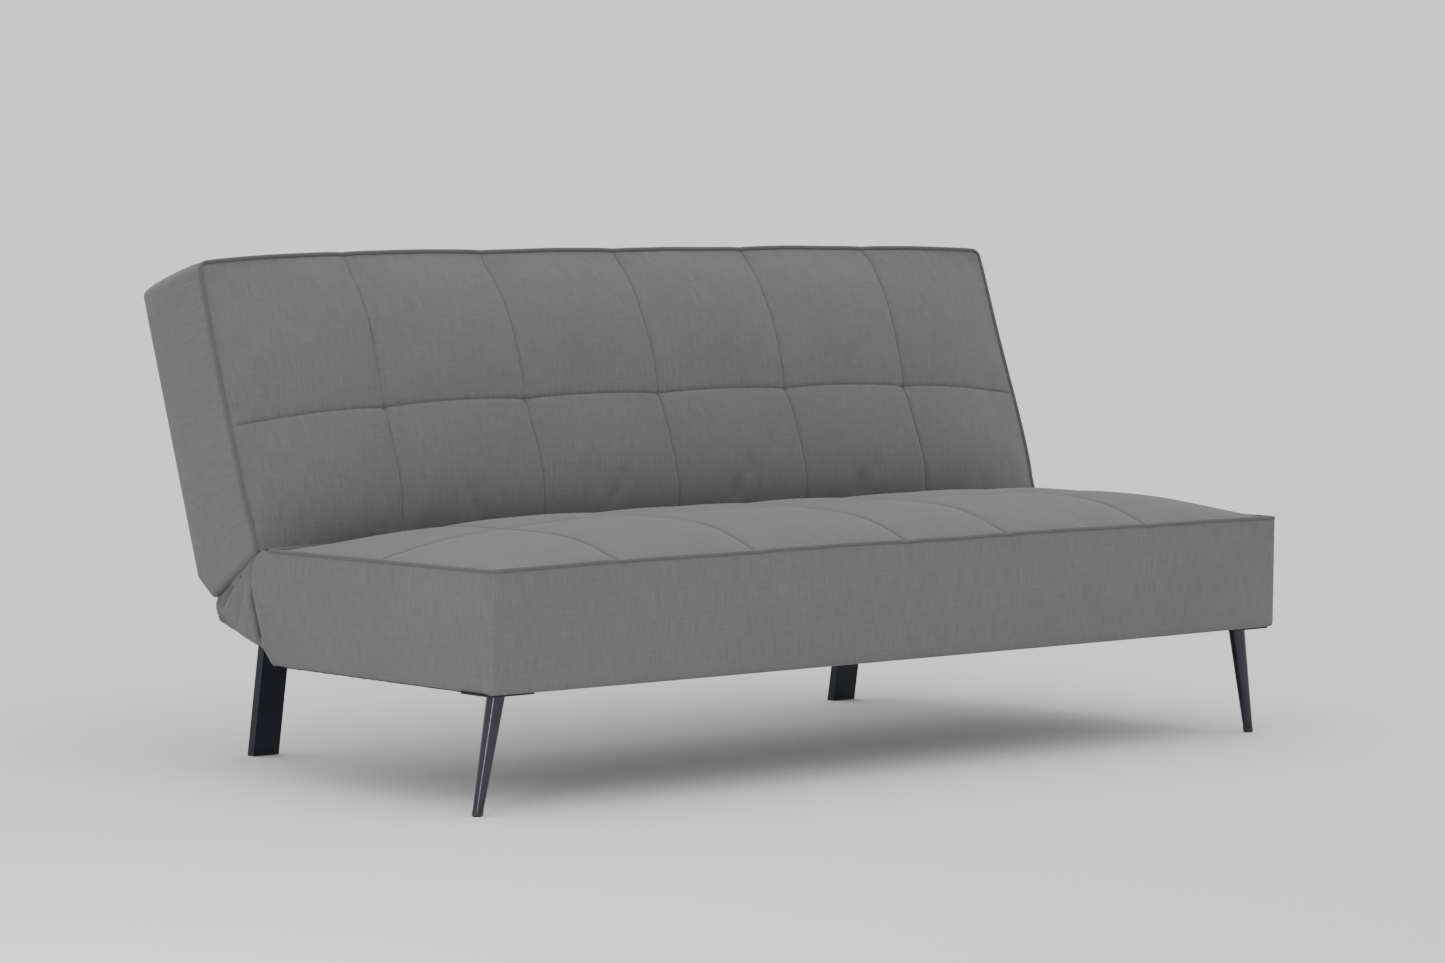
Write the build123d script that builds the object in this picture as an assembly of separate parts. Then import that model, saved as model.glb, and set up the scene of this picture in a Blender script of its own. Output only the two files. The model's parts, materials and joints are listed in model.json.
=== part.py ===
from build123d import *
from math import cos, radians, sin, tan
import os

# Click-clack sofa bed: a padded seat on legs, with a padded back that folds down flat behind it.
# Millimetres. X runs along the sofa, -Y is the front, +Z is up. The origin is on the floor, under
# the middle of the whole sofa. Left is -X and right is +X, as seen from the front.

os.makedirs("parts", exist_ok=True)

# Overall driving dimensions
WIDTH = 1680            # over the piping, end to end
SEAT_FRONT = -406       # front fabric face of the seat
SEAT_DEPTH = 519        # front fabric face to rear fabric face of the seat
SEAT_BOTTOM = 177       # underside of the seat's border
SEAT_EDGE = 353         # height of the piped top edge of the seat
SEAT_CROWN = 42         # rise of the seat cushion over its piped edge
BACK_LENGTH = 456       # bottom to top of the back, along its front face
BACK_THICK = 143        # piped edge to rear panel of the back
BACK_CROWN = 42         # swell of the back cushion in front of its piped edge
BACK_LEAN = 18.4        # degrees the back leans from upright when it stands as a sofa
BACK_FOOT_Y = 137       # front bottom edge of the back
BACK_FOOT_Z = 347

# Soft covers
CLOTH = 2.5             # cover cloth with its backing
PIPE_R = 4              # piping cord
PIPE_OUT = 2            # piping stands this far outside the border
SEAT_CORNER = 18        # plan radius of the seat's corners
BACK_TOP_CORNER = 35
BACK_BOTTOM_CORNER = 18
CROWN_RUN = 210         # width of the stretch over which a cushion swells up from its ends
GAP = 0.4               # clearance between soft layers

BORDER_X = WIDTH / 2 - PIPE_OUT
SEAT_REAR = SEAT_FRONT + SEAT_DEPTH

# Wooden frames
BOARD = 22              # thickness of the long boards
END_BOARD = 20          # thickness of the end boards
SEAT_FRAME_X = 822      # outer face of the seat's end boards
SEAT_FRAME_Z0 = SEAT_BOTTOM + CLOTH
SEAT_FRAME_Z1 = 265
SEAT_RAIL_Y0 = SEAT_FRONT + 15
SEAT_RAIL_Y1 = SEAT_REAR - 12.5
BACK_FRAME_X = 817      # outer face of the back's end boards
BACK_FRAME_N0 = -139    # the back's boards lie between these two depths behind its piped edge
BACK_FRAME_N1 = -84
BACK_RAIL_S0 = 15
BACK_RAIL_S1 = BACK_LENGTH - 13

# Springs and padding
WIRE_R = 2              # centre to corner of the six-sided wire
WIRE_LIFT = 3.5         # wire centre over the face of its rail
PAD = 3
CLIP_HEIGHT = 6

# Click-clack hinge, one at each end, drawn at the right hand end
PLATE = 4
SEAT_PLATE_X = SEAT_FRAME_X - END_BOARD - PLATE     # inner face of the seat's hinge plate
BACK_PLATE_X = SEAT_PLATE_X - PLATE - 1             # inner face of the back's hinge plate
PIVOT_S = -8            # pivot below the back's bottom face
PIVOT_N = -16           # pivot behind the back's piped edge
HUB_R = 12
PIN_R = 5
PIN_PLAY = 0.05         # radial play of the back's plate on the pivot pin
SECTOR_R = 45           # tip circle of the ratchet teeth
SECTOR_FROM = -111      # degrees about the pivot, with the back standing
SECTOR_TO = -66
NOTCH_ANGLES = (-104, -79)      # sitting notch and lounging notch
NOTCH_DEPTH = 5
PAWL_PIN = (97, 262)
PAWL_TIP_R = 2
PAWL_PLAY = 0.45        # pawl nose off the tip circle
SPRING_POST = (68, 246)

# Legs
PLATE_THICK = 2.5
FRONT_LEG_TOP = (795, -366)
FRONT_LEG_FOOT_X = 829
FRONT_LEG_TOP_R = 13.5
FRONT_LEG_TIP_R = 7.6
LEG_WALL = 1.5
FOOT_HEIGHT = 8
LEG_BAR_X = 628         # middle of the rear legs and their arms
LEG_BAR_WIDTH = 50
LEG_BAR_THICK = 15
REAR_LEG_FOOT_Y = 389
REAR_LEG_LEAN = 8.6
ARM_Z0 = 180
ARM_Z1 = 198
ARM_FRONT = -308


def box(x0, x1, y0, y1, z0, z1):
    """Block between two opposite corners."""
    centre = Pos((x0 + x1) / 2, (y0 + y1) / 2, (z0 + z1) / 2)
    return centre * Box(abs(x1 - x0), abs(y1 - y0), abs(z1 - z0))


def prism_x(face_yz, x0, x1):
    """Face drawn with Y across and Z up, extruded along X."""
    plane = Plane(origin=(x0, 0, 0), x_dir=(0, 1, 0), z_dir=(1, 0, 0))
    return extrude(plane * face_yz, amount=x1 - x0)


def polygon_x(points, x0, x1):
    """Polygon of (y, z) points, extruded along X."""
    return prism_x(make_face(Polyline(*points, close=True)), x0, x1)


def disc_x(y, z, radius, x0, x1):
    """Round bar along X."""
    return Pos((x0 + x1) / 2, y, z) * (Rot(0, 90, 0) * Cylinder(radius, x1 - x0))


def link_x(first, second, x0, x1):
    """Flat bar with round ends, between two (y, z, radius) circles."""
    circles = [Pos(y, z) * Circle(r) for y, z, r in (first, second)]
    return prism_x(make_hull(Sketch(children=circles).edges()), x0, x1)


def mirrored(shape):
    """The left hand copy of a right hand piece."""
    return mirror(shape, about=Plane.YZ)


def both_sides(shape):
    return [shape, mirrored(shape)]


def group(shapes):
    """Separate solids kept in one node."""
    solids = [solid for shape in shapes for solid in shape.solids()]
    return Compound(children=solids)


def save(shape, name):
    shape.label = name
    export_step(shape, "parts/" + name + ".step")


# The back is drawn in its own frame: X along the sofa, S up its front face, N out of its front
# face, with S = N = 0 at the front bottom edge. back_place puts it on the sofa.
back_plane = Plane(
    origin=(0, BACK_FOOT_Y, BACK_FOOT_Z),
    x_dir=(1, 0, 0),
    z_dir=(0, -cos(radians(BACK_LEAN)), sin(radians(BACK_LEAN))),
)


def back_place(shape):
    return back_plane.location * shape


pivot = back_plane.from_local_coords(Vector(0, PIVOT_S, PIVOT_N))
PIVOT_Y = pivot.Y
PIVOT_Z = pivot.Z


def around_pivot(radius, angle):
    """(y, z) of a point at a radius and angle about the back's pivot."""
    return (PIVOT_Y + radius * cos(radians(angle)), PIVOT_Z + radius * sin(radians(angle)))


# Cushion outlines -----------------------------------------------------------------------------

def rounded_panel(half_x, y0, y1, r_low, r_high):
    """Rectangle with one corner radius at its low Y end and another at its high Y end."""
    face = Pos(0, (y0 + y1) / 2) * Rectangle(2 * half_x, y1 - y0)
    face = fillet(face.vertices().group_by(Axis.Y)[0], r_low)
    return fillet(face.vertices().group_by(Axis.Y)[-1], r_high)


def swell(half_x, y0, y1, edge, crown, floor):
    """Cushion block: flat below, domed above in both directions, edge height all round."""
    middle = (y0 + y1) / 2
    across = Polyline((y0, edge), (y0, floor), (y1, floor), (y1, edge))
    arc_y = ThreePointArc((y0, edge), (middle, edge + crown), (y1, edge))
    run = prism_x(make_face([across, arc_y]), -half_x, half_x)

    radius = (CROWN_RUN**2 + crown**2) / (2 * crown)
    inner = half_x - CROWN_RUN
    low = Polyline((-half_x, edge), (-half_x, floor), (half_x, floor), (half_x, edge))
    top = Line((-inner, edge + crown), (inner, edge + crown))
    left = RadiusArc((-half_x, edge), (-inner, edge + crown), radius)
    right = RadiusArc((inner, edge + crown), (half_x, edge), radius)
    plane = Plane(origin=(0, y1, 0), x_dir=(1, 0, 0), z_dir=(0, -1, 0))
    length = extrude(plane * make_face([low, left, top, right]), amount=y1 - y0)
    return run & length


def piping_loop(half_x, y0, y1, r_low, r_high, height):
    """Piping cord round the top edge of a cushion."""
    face = Pos(0, 0, height) * rounded_panel(half_x, y0, y1, r_low, r_high)
    path = face.face().outer_wire()
    start = Plane(origin=path @ 0, z_dir=path % 0)
    return sweep(start * Circle(PIPE_R), path=path)


def border_ring(half_x, y0, y1, r_low, r_high, z0, z1):
    """Thin upright wall round a cushion, with a hem turned in at z0."""
    outer = extrude(Pos(0, 0, z0) * rounded_panel(half_x, y0, y1, r_low, r_high), amount=z1 - z0)
    inner_face = rounded_panel(half_x - CLOTH, y0 + CLOTH, y1 - CLOTH, r_low - CLOTH, r_high - CLOTH)
    inner = extrude(Pos(0, 0, z0 + CLOTH) * inner_face, amount=z1 - z0)
    hem = 30
    mouth_face = rounded_panel(half_x - hem, y0 + hem, y1 - hem, r_low, r_high)
    mouth = extrude(Pos(0, 0, z0 - 1) * mouth_face, amount=z1 - z0)
    return outer - inner - mouth


def cushion(half_x, y0, y1, r_low, r_high, z0, edge, crown):
    """Border, domed cover, piping and the space left inside them for the padding."""
    sink = PIPE_R - PIPE_OUT
    pipe = piping_loop(
        half_x - sink, y0 + sink, y1 - sink, r_low - sink, r_high - sink, edge - sink
    )
    border = border_ring(half_x, y0, y1, r_low, r_high, z0, edge - sink) - pipe
    inset = CLOTH + 1
    cover_face = rounded_panel(half_x - inset, y0 + inset, y1 - inset, r_low - inset, r_high - inset)
    cover_column = extrude(Pos(0, 0, z0) * cover_face, amount=edge + crown - z0 + 1)
    dome = swell(half_x, y0, y1, edge, crown, z0 + CLOTH)
    under = swell(half_x, y0, y1, edge - CLOTH, crown, z0)
    cover = (dome & cover_column) - under - pipe
    inner = CLOTH + GAP
    fill_face = rounded_panel(half_x - inner, y0 + inner, y1 - inner, r_low - inner, r_high - inner)
    fill_column = extrude(Pos(0, 0, z0 + CLOTH) * fill_face, amount=edge + crown - z0)
    below = swell(half_x, y0, y1, edge - CLOTH - GAP, crown, z0 + CLOTH)
    padding = (below & fill_column) - pipe
    return border, cover, pipe, padding


# Springs --------------------------------------------------------------------------------------

def sinuous_spring(length, bars):
    """Zigzag spring of round wire in the XY plane, running along +Y from its first bar."""
    pitch = length / (bars - 1)
    reach = 11
    pieces = []
    side = 1
    for i in range(bars):
        y = i * pitch
        pieces.append(Line((-side * reach, y), (side * reach, y)))
        if i < bars - 1:
            bend = (side * (reach + pitch / 2), y + pitch / 2)
            pieces.append(ThreePointArc((side * reach, y), bend, (side * reach, y + pitch)))
        side = -side
    path = Wire(pieces)
    start = Plane(origin=path @ 0, z_dir=path % 0)
    return sweep(start * RegularPolygon(WIRE_R, 6), path=path)


def spring_set(xs, y0, y1, bars, z):
    """Row of springs between two rails, with a clip over both end bars of each one."""
    spring = sinuous_spring(y1 - y0, bars)
    springs = [Pos(x, y0, z + WIRE_LIFT) * spring for x in xs]
    room = WIRE_R + 0.2
    clips = []
    for x in xs:
        for y in (y0, y1):
            clip = box(x - 9, x + 9, y - 6, y + 6, z, z + CLIP_HEIGHT)
            clips.append(clip - box(x - 10, x + 10, y - room, y + room, z - 1, z + WIRE_LIFT + room))
    return group(springs), group(clips)


# Seat frame -----------------------------------------------------------------------------------

SEAT_SPRING_XS = [170 * i for i in range(-4, 5)]
arm_notch_half = LEG_BAR_WIDTH / 2 + 2

front_rail = box(-SEAT_PLATE_X, SEAT_PLATE_X, SEAT_RAIL_Y0, SEAT_RAIL_Y0 + BOARD,
                 SEAT_FRAME_Z0, SEAT_FRAME_Z1)
REAR_RAIL_END = 785     # leaves room for the pawls beside the end boards
rear_rail = box(-REAR_RAIL_END, REAR_RAIL_END, SEAT_RAIL_Y1 - BOARD, SEAT_RAIL_Y1,
                SEAT_FRAME_Z0, SEAT_FRAME_Z1)
for side in (-1, 1):
    middle = side * LEG_BAR_X
    rear_rail -= box(middle - arm_notch_half, middle + arm_notch_half, SEAT_RAIL_Y1 - BOARD - 1,
                     SEAT_RAIL_Y1 + 1, SEAT_FRAME_Z0 - 1, ARM_Z1 + 0.3)
end_board = box(SEAT_FRAME_X - END_BOARD, SEAT_FRAME_X, SEAT_RAIL_Y0, SEAT_RAIL_Y1,
                SEAT_FRAME_Z0, SEAT_FRAME_Z1)
front_rail_end = box(SEAT_PLATE_X, SEAT_FRAME_X - END_BOARD, SEAT_RAIL_Y0, SEAT_RAIL_Y0 + BOARD,
                     SEAT_FRAME_Z0, SEAT_FRAME_Z1)
front_rail = front_rail + front_rail_end + mirrored(front_rail_end)
centre_rail = box(-BOARD / 2, BOARD / 2, SEAT_RAIL_Y0 + BOARD, SEAT_RAIL_Y1 - BOARD,
                  SEAT_FRAME_Z0, SEAT_FRAME_Z1 - 5)
bearer = box(LEG_BAR_X - 30, LEG_BAR_X + 30, SEAT_RAIL_Y0 + BOARD, SEAT_RAIL_Y1 - BOARD,
             ARM_Z1, SEAT_FRAME_Z1 - 5)
BLOCK = 60
front_block = box(SEAT_FRAME_X - END_BOARD - BLOCK, SEAT_FRAME_X - END_BOARD,
                  SEAT_RAIL_Y0 + BOARD, SEAT_RAIL_Y0 + BOARD + BLOCK,
                  SEAT_FRAME_Z0, SEAT_FRAME_Z1 - 5)
rear_block = box(SEAT_FRAME_X - END_BOARD - BLOCK, SEAT_FRAME_X - END_BOARD,
                 SEAT_RAIL_Y1 - BOARD - 40, SEAT_RAIL_Y1 - BOARD, SEAT_FRAME_Z0, 205)

# Rear legs on their arms ----------------------------------------------------------------------

def leg_bar_outline(inset, z0, z1):
    """(y, z) outline of the leaning rear leg between two heights, shrunk by an inset."""
    slope = tan(radians(REAR_LEG_LEAN))
    half = LEG_BAR_THICK / 2 / cos(radians(REAR_LEG_LEAN)) - inset
    low = REAR_LEG_FOOT_Y - slope * z0
    high = REAR_LEG_FOOT_Y - slope * z1
    return [(low - half, z0), (low + half, z0), (high + half, z1), (high - half, z1)]


REAR_FOOT = 3
bar_x0 = LEG_BAR_X - LEG_BAR_WIDTH / 2
bar_x1 = LEG_BAR_X + LEG_BAR_WIDTH / 2
rear_leg = polygon_x(leg_bar_outline(0, REAR_FOOT, ARM_Z1), bar_x0, bar_x1)
rear_leg -= polygon_x(leg_bar_outline(LEG_WALL, 0, ARM_Z1 - LEG_WALL), bar_x0 + LEG_WALL,
                      bar_x1 - LEG_WALL)
rear_foot = polygon_x(leg_bar_outline(0, 0, REAR_FOOT), bar_x0, bar_x1)
rear_foot += polygon_x(leg_bar_outline(LEG_WALL, REAR_FOOT, REAR_FOOT + 15), bar_x0 + LEG_WALL,
                       bar_x1 - LEG_WALL)

leg_column = polygon_x(leg_bar_outline(0, REAR_FOOT, ARM_Z1 + 1), bar_x0 - 1, bar_x1 + 1)
arm_rear = REAR_LEG_FOOT_Y - tan(radians(REAR_LEG_LEAN)) * ARM_Z1
rear_arm = box(bar_x0, bar_x1, ARM_FRONT, arm_rear, ARM_Z0, ARM_Z1)
rear_arm -= box(bar_x0 + LEG_WALL, bar_x1 - LEG_WALL, ARM_FRONT - 1, arm_rear + 1,
                ARM_Z0 + LEG_WALL, ARM_Z1 - LEG_WALL)
rear_arm -= leg_column
arm_bolts = []
for y in (-270, -120, 30):
    rear_arm -= Pos(LEG_BAR_X, y, ARM_Z0) * Cylinder(8, 8)
    head = Pos(LEG_BAR_X, y, ARM_Z1 - LEG_WALL - 3) * Cylinder(6.5, 6)
    shank = Pos(LEG_BAR_X, y, ARM_Z1 - LEG_WALL + 22) * Cylinder(4, 44)
    arm_bolts.append(head + shank)
for bolt in arm_bolts:
    rear_arm -= bolt
    bearer -= bolt

# Front legs -----------------------------------------------------------------------------------

leg_x, leg_y = FRONT_LEG_TOP
LEG_TOP_Z = SEAT_BOTTOM - PLATE_THICK


def front_leg_axis(z):
    share = (LEG_TOP_Z - z) / LEG_TOP_Z
    return Vector(leg_x + (FRONT_LEG_FOOT_X - leg_x) * share, leg_y, z)


def front_leg_cone(z0, z1, shrink):
    """Tapered round bar on the leg's axis, cut level at both heights."""
    spare = 12
    low = front_leg_axis(z0 - spare)
    high = front_leg_axis(z1 + spare)
    taper = (FRONT_LEG_TOP_R - FRONT_LEG_TIP_R) / LEG_TOP_Z
    r_low = FRONT_LEG_TIP_R + taper * (z0 - spare) - shrink
    r_high = FRONT_LEG_TIP_R + taper * (z1 + spare) - shrink
    axis = high - low
    plane = Plane(origin=(low + high) * 0.5, z_dir=axis)
    cone = plane.location * Cone(r_low, r_high, axis.length)
    return cone & box(0, WIDTH, leg_y - 50, leg_y + 50, z0, z1)


front_leg = front_leg_cone(FOOT_HEIGHT, LEG_TOP_Z, 0)
front_leg -= front_leg_cone(FOOT_HEIGHT - 2, LEG_TOP_Z - 5, LEG_WALL)
foot_disc = front_leg_cone(0, FOOT_HEIGHT, -0.4)
foot_disc = fillet(foot_disc.faces().sort_by(Axis.Z)[0].edges(), 2.5)
front_foot = foot_disc + front_leg_cone(FOOT_HEIGHT, FOOT_HEIGHT + 14, LEG_WALL)

hanger_bolt = Pos(leg_x, leg_y, LEG_TOP_Z + 15) * Cylinder(4, 60)
front_leg -= hanger_bolt

CORNER_PLATE_IN = 750
corner_plate = box(CORNER_PLATE_IN, BORDER_X - 3, SEAT_FRONT + 3, SEAT_FRONT + 76,
                   LEG_TOP_Z, SEAT_BOTTOM)
corner_plate = fillet(corner_plate.edges().filter_by(Axis.Z), 8)
corner_plate -= hanger_bolt
SCREW_HEAD = 2
corner_screws = []
for x, y in ((762, -383), (812, -385), (762, -345), (812, -345)):
    head = Pos(x, y, LEG_TOP_Z - SCREW_HEAD / 2) * Cylinder(4, SCREW_HEAD)
    shank = Pos(x, y, LEG_TOP_Z + 11) * Cylinder(2, 22)
    corner_screws.append(head + shank)
for screw in corner_screws:
    corner_plate -= screw

# Click-clack hinges ---------------------------------------------------------------------------

seat_plate_x1 = SEAT_PLATE_X + PLATE
back_plate_x1 = BACK_PLATE_X + PLATE


def seat_hinge_plate():
    """Bent bar plate from the pivot forward to the inner face of the seat's end board."""
    knee = (72, 250, 15)
    plate = link_x((PIVOT_Y, PIVOT_Z, HUB_R), knee, SEAT_PLATE_X, seat_plate_x1)
    plate += link_x(knee, (-80, 226, 15), SEAT_PLATE_X, seat_plate_x1)
    plate += disc_x(*PAWL_PIN, 11, SEAT_PLATE_X, seat_plate_x1)
    plate += disc_x(*SPRING_POST, 2.5, BACK_PLATE_X - 4, SEAT_PLATE_X)
    plate -= disc_x(PIVOT_Y, PIVOT_Z, PIN_R, SEAT_PLATE_X - 1, seat_plate_x1 + 1)
    plate -= disc_x(*PAWL_PIN, 3, SEAT_PLATE_X - 1, seat_plate_x1 + 1)
    return plate


def ratchet_sector():
    """Toothed sector about the pivot, with a notch for each locked position."""
    rim = [around_pivot(SECTOR_R, SECTOR_FROM + 5 * i) for i in range(10)]
    sector = polygon_x([around_pivot(4, SECTOR_FROM), *rim, around_pivot(4, SECTOR_TO)],
                       BACK_PLATE_X, back_plate_x1)
    sector &= disc_x(PIVOT_Y, PIVOT_Z, SECTOR_R, BACK_PLATE_X, back_plate_x1)
    for angle in NOTCH_ANGLES:
        notch = [
            around_pivot(SECTOR_R + 3, angle - 7),
            around_pivot(SECTOR_R - NOTCH_DEPTH, angle),
            around_pivot(SECTOR_R + 3, angle + 1),
        ]
        sector -= polygon_x(notch, BACK_PLATE_X - 1, back_plate_x1 + 1)
    return sector


def back_arm():
    """Arm of the back's hinge plate, in the back's own frame, lying on its end board."""
    ends = [(PIVOT_S, PIVOT_N, HUB_R), (34, -96, 16), (170, -112, 16)]
    plane = Plane(origin=(BACK_PLATE_X, 0, 0), x_dir=(0, 1, 0), z_dir=(1, 0, 0))
    arm = None
    for first, second in zip(ends, ends[1:]):
        circles = [Pos(s, n) * Circle(r) for s, n, r in (first, second)]
        link = extrude(plane * make_hull(Sketch(children=circles).edges()), amount=PLATE)
        arm = link if arm is None else arm + link
    return arm


def back_hinge_plate():
    plate = back_place(back_arm()) + ratchet_sector()
    return plate - disc_x(PIVOT_Y, PIVOT_Z, PIN_R + PIN_PLAY, BACK_PLATE_X - 1, back_plate_x1 + 1)


def pawl():
    """Lever that drops into the notches, in the plane of the ratchet sector."""
    nose = around_pivot(SECTOR_R + PAWL_PLAY + PAWL_TIP_R, NOTCH_ANGLES[0])
    lever = link_x((*PAWL_PIN, 7), (*nose, PAWL_TIP_R), BACK_PLATE_X, back_plate_x1)
    return lever - disc_x(*PAWL_PIN, 3 + PIN_PLAY, BACK_PLATE_X - 1, back_plate_x1 + 1)


def pawl_spring():
    """Leaf spring curled round its post, with its free end under the pawl."""
    x0 = BACK_PLATE_X - 3
    x1 = back_plate_x1
    post_y, post_z = SPRING_POST
    curl = disc_x(post_y, post_z, 3.6, x0, x1) - disc_x(post_y, post_z, 2.6, x0 - 1, x1 + 1)
    leaf = polygon_x([(post_y + 1, post_z - 3.5), (post_y + 1, post_z - 2.7), (98, 253.8),
                      (120, 268.6), (120, 267.8), (98, 253)], x0, x1)
    return curl + leaf


seat_plate = seat_hinge_plate()
back_plate = back_hinge_plate()
pivot_pin = disc_x(PIVOT_Y, PIVOT_Z, PIN_R, BACK_PLATE_X - 0.5, seat_plate_x1)
pivot_pin += disc_x(PIVOT_Y, PIVOT_Z, 8.5, BACK_PLATE_X - 4, BACK_PLATE_X - 0.5)
pivot_pin += disc_x(PIVOT_Y, PIVOT_Z, 8.5, seat_plate_x1, seat_plate_x1 + 3)
pawl_pin = disc_x(*PAWL_PIN, 3, BACK_PLATE_X - 0.4, seat_plate_x1)
pawl_pin += disc_x(*PAWL_PIN, 5, BACK_PLATE_X - 3, BACK_PLATE_X - 0.4)

seat_hinge_screws = []
for y in (24, -24, -74):
    z = 226 + (y + 80) * 24 / 152
    head = disc_x(y, z, 6.5, SEAT_PLATE_X - 3, SEAT_PLATE_X)
    seat_hinge_screws.append(head + disc_x(y, z, 3, SEAT_PLATE_X, SEAT_FRAME_X - 4))
for screw in seat_hinge_screws:
    seat_plate -= screw
    end_board -= screw

back_hinge_screws = []
for s in (62, 110, 158):
    n = -96 - (s - 34) * 16 / 136
    local = Pos(BACK_PLATE_X - 1.5, s, n) * (Rot(0, 90, 0) * Cylinder(6.5, 3))
    local += Pos(BACK_PLATE_X + 10, s, n) * (Rot(0, 90, 0) * Cylinder(3, 20))
    back_hinge_screws.append(back_place(local))
for screw in back_hinge_screws:
    back_plate -= screw

# Seat cushion and covers ----------------------------------------------------------------------

seat_border, seat_cover, seat_pipe, seat_padding = cushion(
    BORDER_X, SEAT_FRONT, SEAT_REAR, SEAT_CORNER, SEAT_CORNER, SEAT_BOTTOM, SEAT_EDGE, SEAT_CROWN
)
PAD_Z = SEAT_FRAME_Z1 + CLIP_HEIGHT + 0.2
seat_springs, seat_clips = spring_set(
    SEAT_SPRING_XS, SEAT_RAIL_Y0 + BOARD / 2, SEAT_RAIL_Y1 - BOARD / 2, 17, SEAT_FRAME_Z1
)
seat_pad = box(-795, 795, SEAT_RAIL_Y0 + 2, SEAT_RAIL_Y1 - 2, PAD_Z, PAD_Z + PAD)
seat_foam = seat_padding - box(-SEAT_FRAME_X - GAP, SEAT_FRAME_X + GAP, SEAT_RAIL_Y0 - GAP,
                               SEAT_RAIL_Y1 + GAP, 0, PAD_Z + PAD + GAP)
hinge_pocket = box(BACK_PLATE_X - 6, seat_plate_x1 + 4, 20, SEAT_REAR + 10, 210, 342)
border_slot = box(BACK_PLATE_X - 6, seat_plate_x1 + 4, SEAT_REAR - 10, SEAT_REAR + 10, 240, 342)
arm_slot = box(LEG_BAR_X - arm_notch_half, LEG_BAR_X + arm_notch_half, SEAT_REAR - 20,
               SEAT_REAR + 10, ARM_Z0 - 0.3, ARM_Z1 + 0.5)
for cut in both_sides(hinge_pocket):
    seat_foam -= cut
    seat_pad -= cut
for cut in both_sides(border_slot) + both_sides(arm_slot):
    seat_border -= cut
for cut in both_sides(arm_slot):
    seat_foam -= cut
for screw in corner_screws + [hanger_bolt]:
    for cut in both_sides(screw):
        seat_border -= cut
        front_rail -= cut
    end_board -= screw
    front_block -= screw

dust_cover = box(-BORDER_X + 6, BORDER_X - 6, SEAT_FRONT + 6, SEAT_REAR - 6, SEAT_BOTTOM - 1,
                 SEAT_BOTTOM)
corner_window = box(CORNER_PLATE_IN - 4, BORDER_X, SEAT_FRONT, SEAT_FRONT + 80,
                    SEAT_BOTTOM - 2, SEAT_BOTTOM + 1)
for cut in both_sides(corner_window):
    dust_cover -= cut

# Back frame, cushion and covers, drawn in the back's own frame --------------------------------

BACK_SPRING_XS = [-700, -420, -140, 140, 420, 700]
TUFT_XS = [280 * i for i in range(-2, 3)]
TUFT_S = 208

BACK_INNER_X = BACK_FRAME_X - END_BOARD
back_bottom_rail = box(-BACK_INNER_X + PLATE, BACK_INNER_X - PLATE, BACK_RAIL_S0,
                       BACK_RAIL_S0 + BOARD, BACK_FRAME_N0, BACK_FRAME_N1)
back_top_rail = box(-BACK_INNER_X, BACK_INNER_X, BACK_RAIL_S1 - BOARD, BACK_RAIL_S1,
                    BACK_FRAME_N0, BACK_FRAME_N1)
back_end_board = box(BACK_INNER_X, BACK_FRAME_X, BACK_RAIL_S0, BACK_RAIL_S1, BACK_FRAME_N0,
                     BACK_FRAME_N1)
back_centre_rail = box(-BOARD / 2, BOARD / 2, BACK_RAIL_S0 + BOARD, BACK_RAIL_S1 - BOARD,
                       BACK_FRAME_N0, BACK_FRAME_N1 - 5)
back_springs, back_clips = spring_set(
    BACK_SPRING_XS, BACK_RAIL_S0 + BOARD / 2, BACK_RAIL_S1 - BOARD / 2, 13, BACK_FRAME_N1
)
BACK_PAD_N = BACK_FRAME_N1 + CLIP_HEIGHT + 0.2
back_pad = box(-780, 780, BACK_RAIL_S0 + 2, BACK_RAIL_S1 - 2, BACK_PAD_N, BACK_PAD_N + PAD)
back_border, back_cover, back_pipe, back_padding = cushion(
    BORDER_X, 0, BACK_LENGTH, BACK_BOTTOM_CORNER, BACK_TOP_CORNER, -BACK_THICK + 1, 0, BACK_CROWN
)
back_foam = back_padding - box(-BACK_FRAME_X - GAP, BACK_FRAME_X + GAP, BACK_RAIL_S0 - GAP,
                               BACK_RAIL_S1 + GAP, -BACK_THICK, BACK_PAD_N + PAD + GAP)
lining_face = rounded_panel(BORDER_X - 6, 6, BACK_LENGTH - 6, 12, BACK_TOP_CORNER - 6)
back_lining = extrude(Pos(0, 0, -BACK_THICK) * lining_face, amount=1)

back_pocket = box(BACK_PLATE_X - 6, seat_plate_x1 + 4, -1, 60, -120, -3.5)
back_slot = box(BACK_PLATE_X - 6, seat_plate_x1 + 4, -1, 10, -84, -5)
for cut in both_sides(back_pocket):
    back_foam -= cut
for cut in both_sides(back_slot):
    back_border -= cut

tuft_ties = []
for x in TUFT_XS:
    twine = Pos(x, TUFT_S, (BACK_CROWN + BACK_PAD_N) / 2) * Cylinder(1.2, BACK_CROWN - BACK_PAD_N)
    toggle = Pos(x, TUFT_S, BACK_PAD_N - 1.5) * Cylinder(8, 3)
    tuft_ties.append(twine + toggle)
for tie in tuft_ties:
    back_cover -= tie
    back_foam -= tie
    back_pad -= tie
    back_centre_rail -= tie

back_screw_holes = [back_plane.location.inverse() * screw for screw in back_hinge_screws]
for screw in back_screw_holes:
    back_end_board -= screw

# Cloth that closes the gap between the seat and the back --------------------------------------

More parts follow.
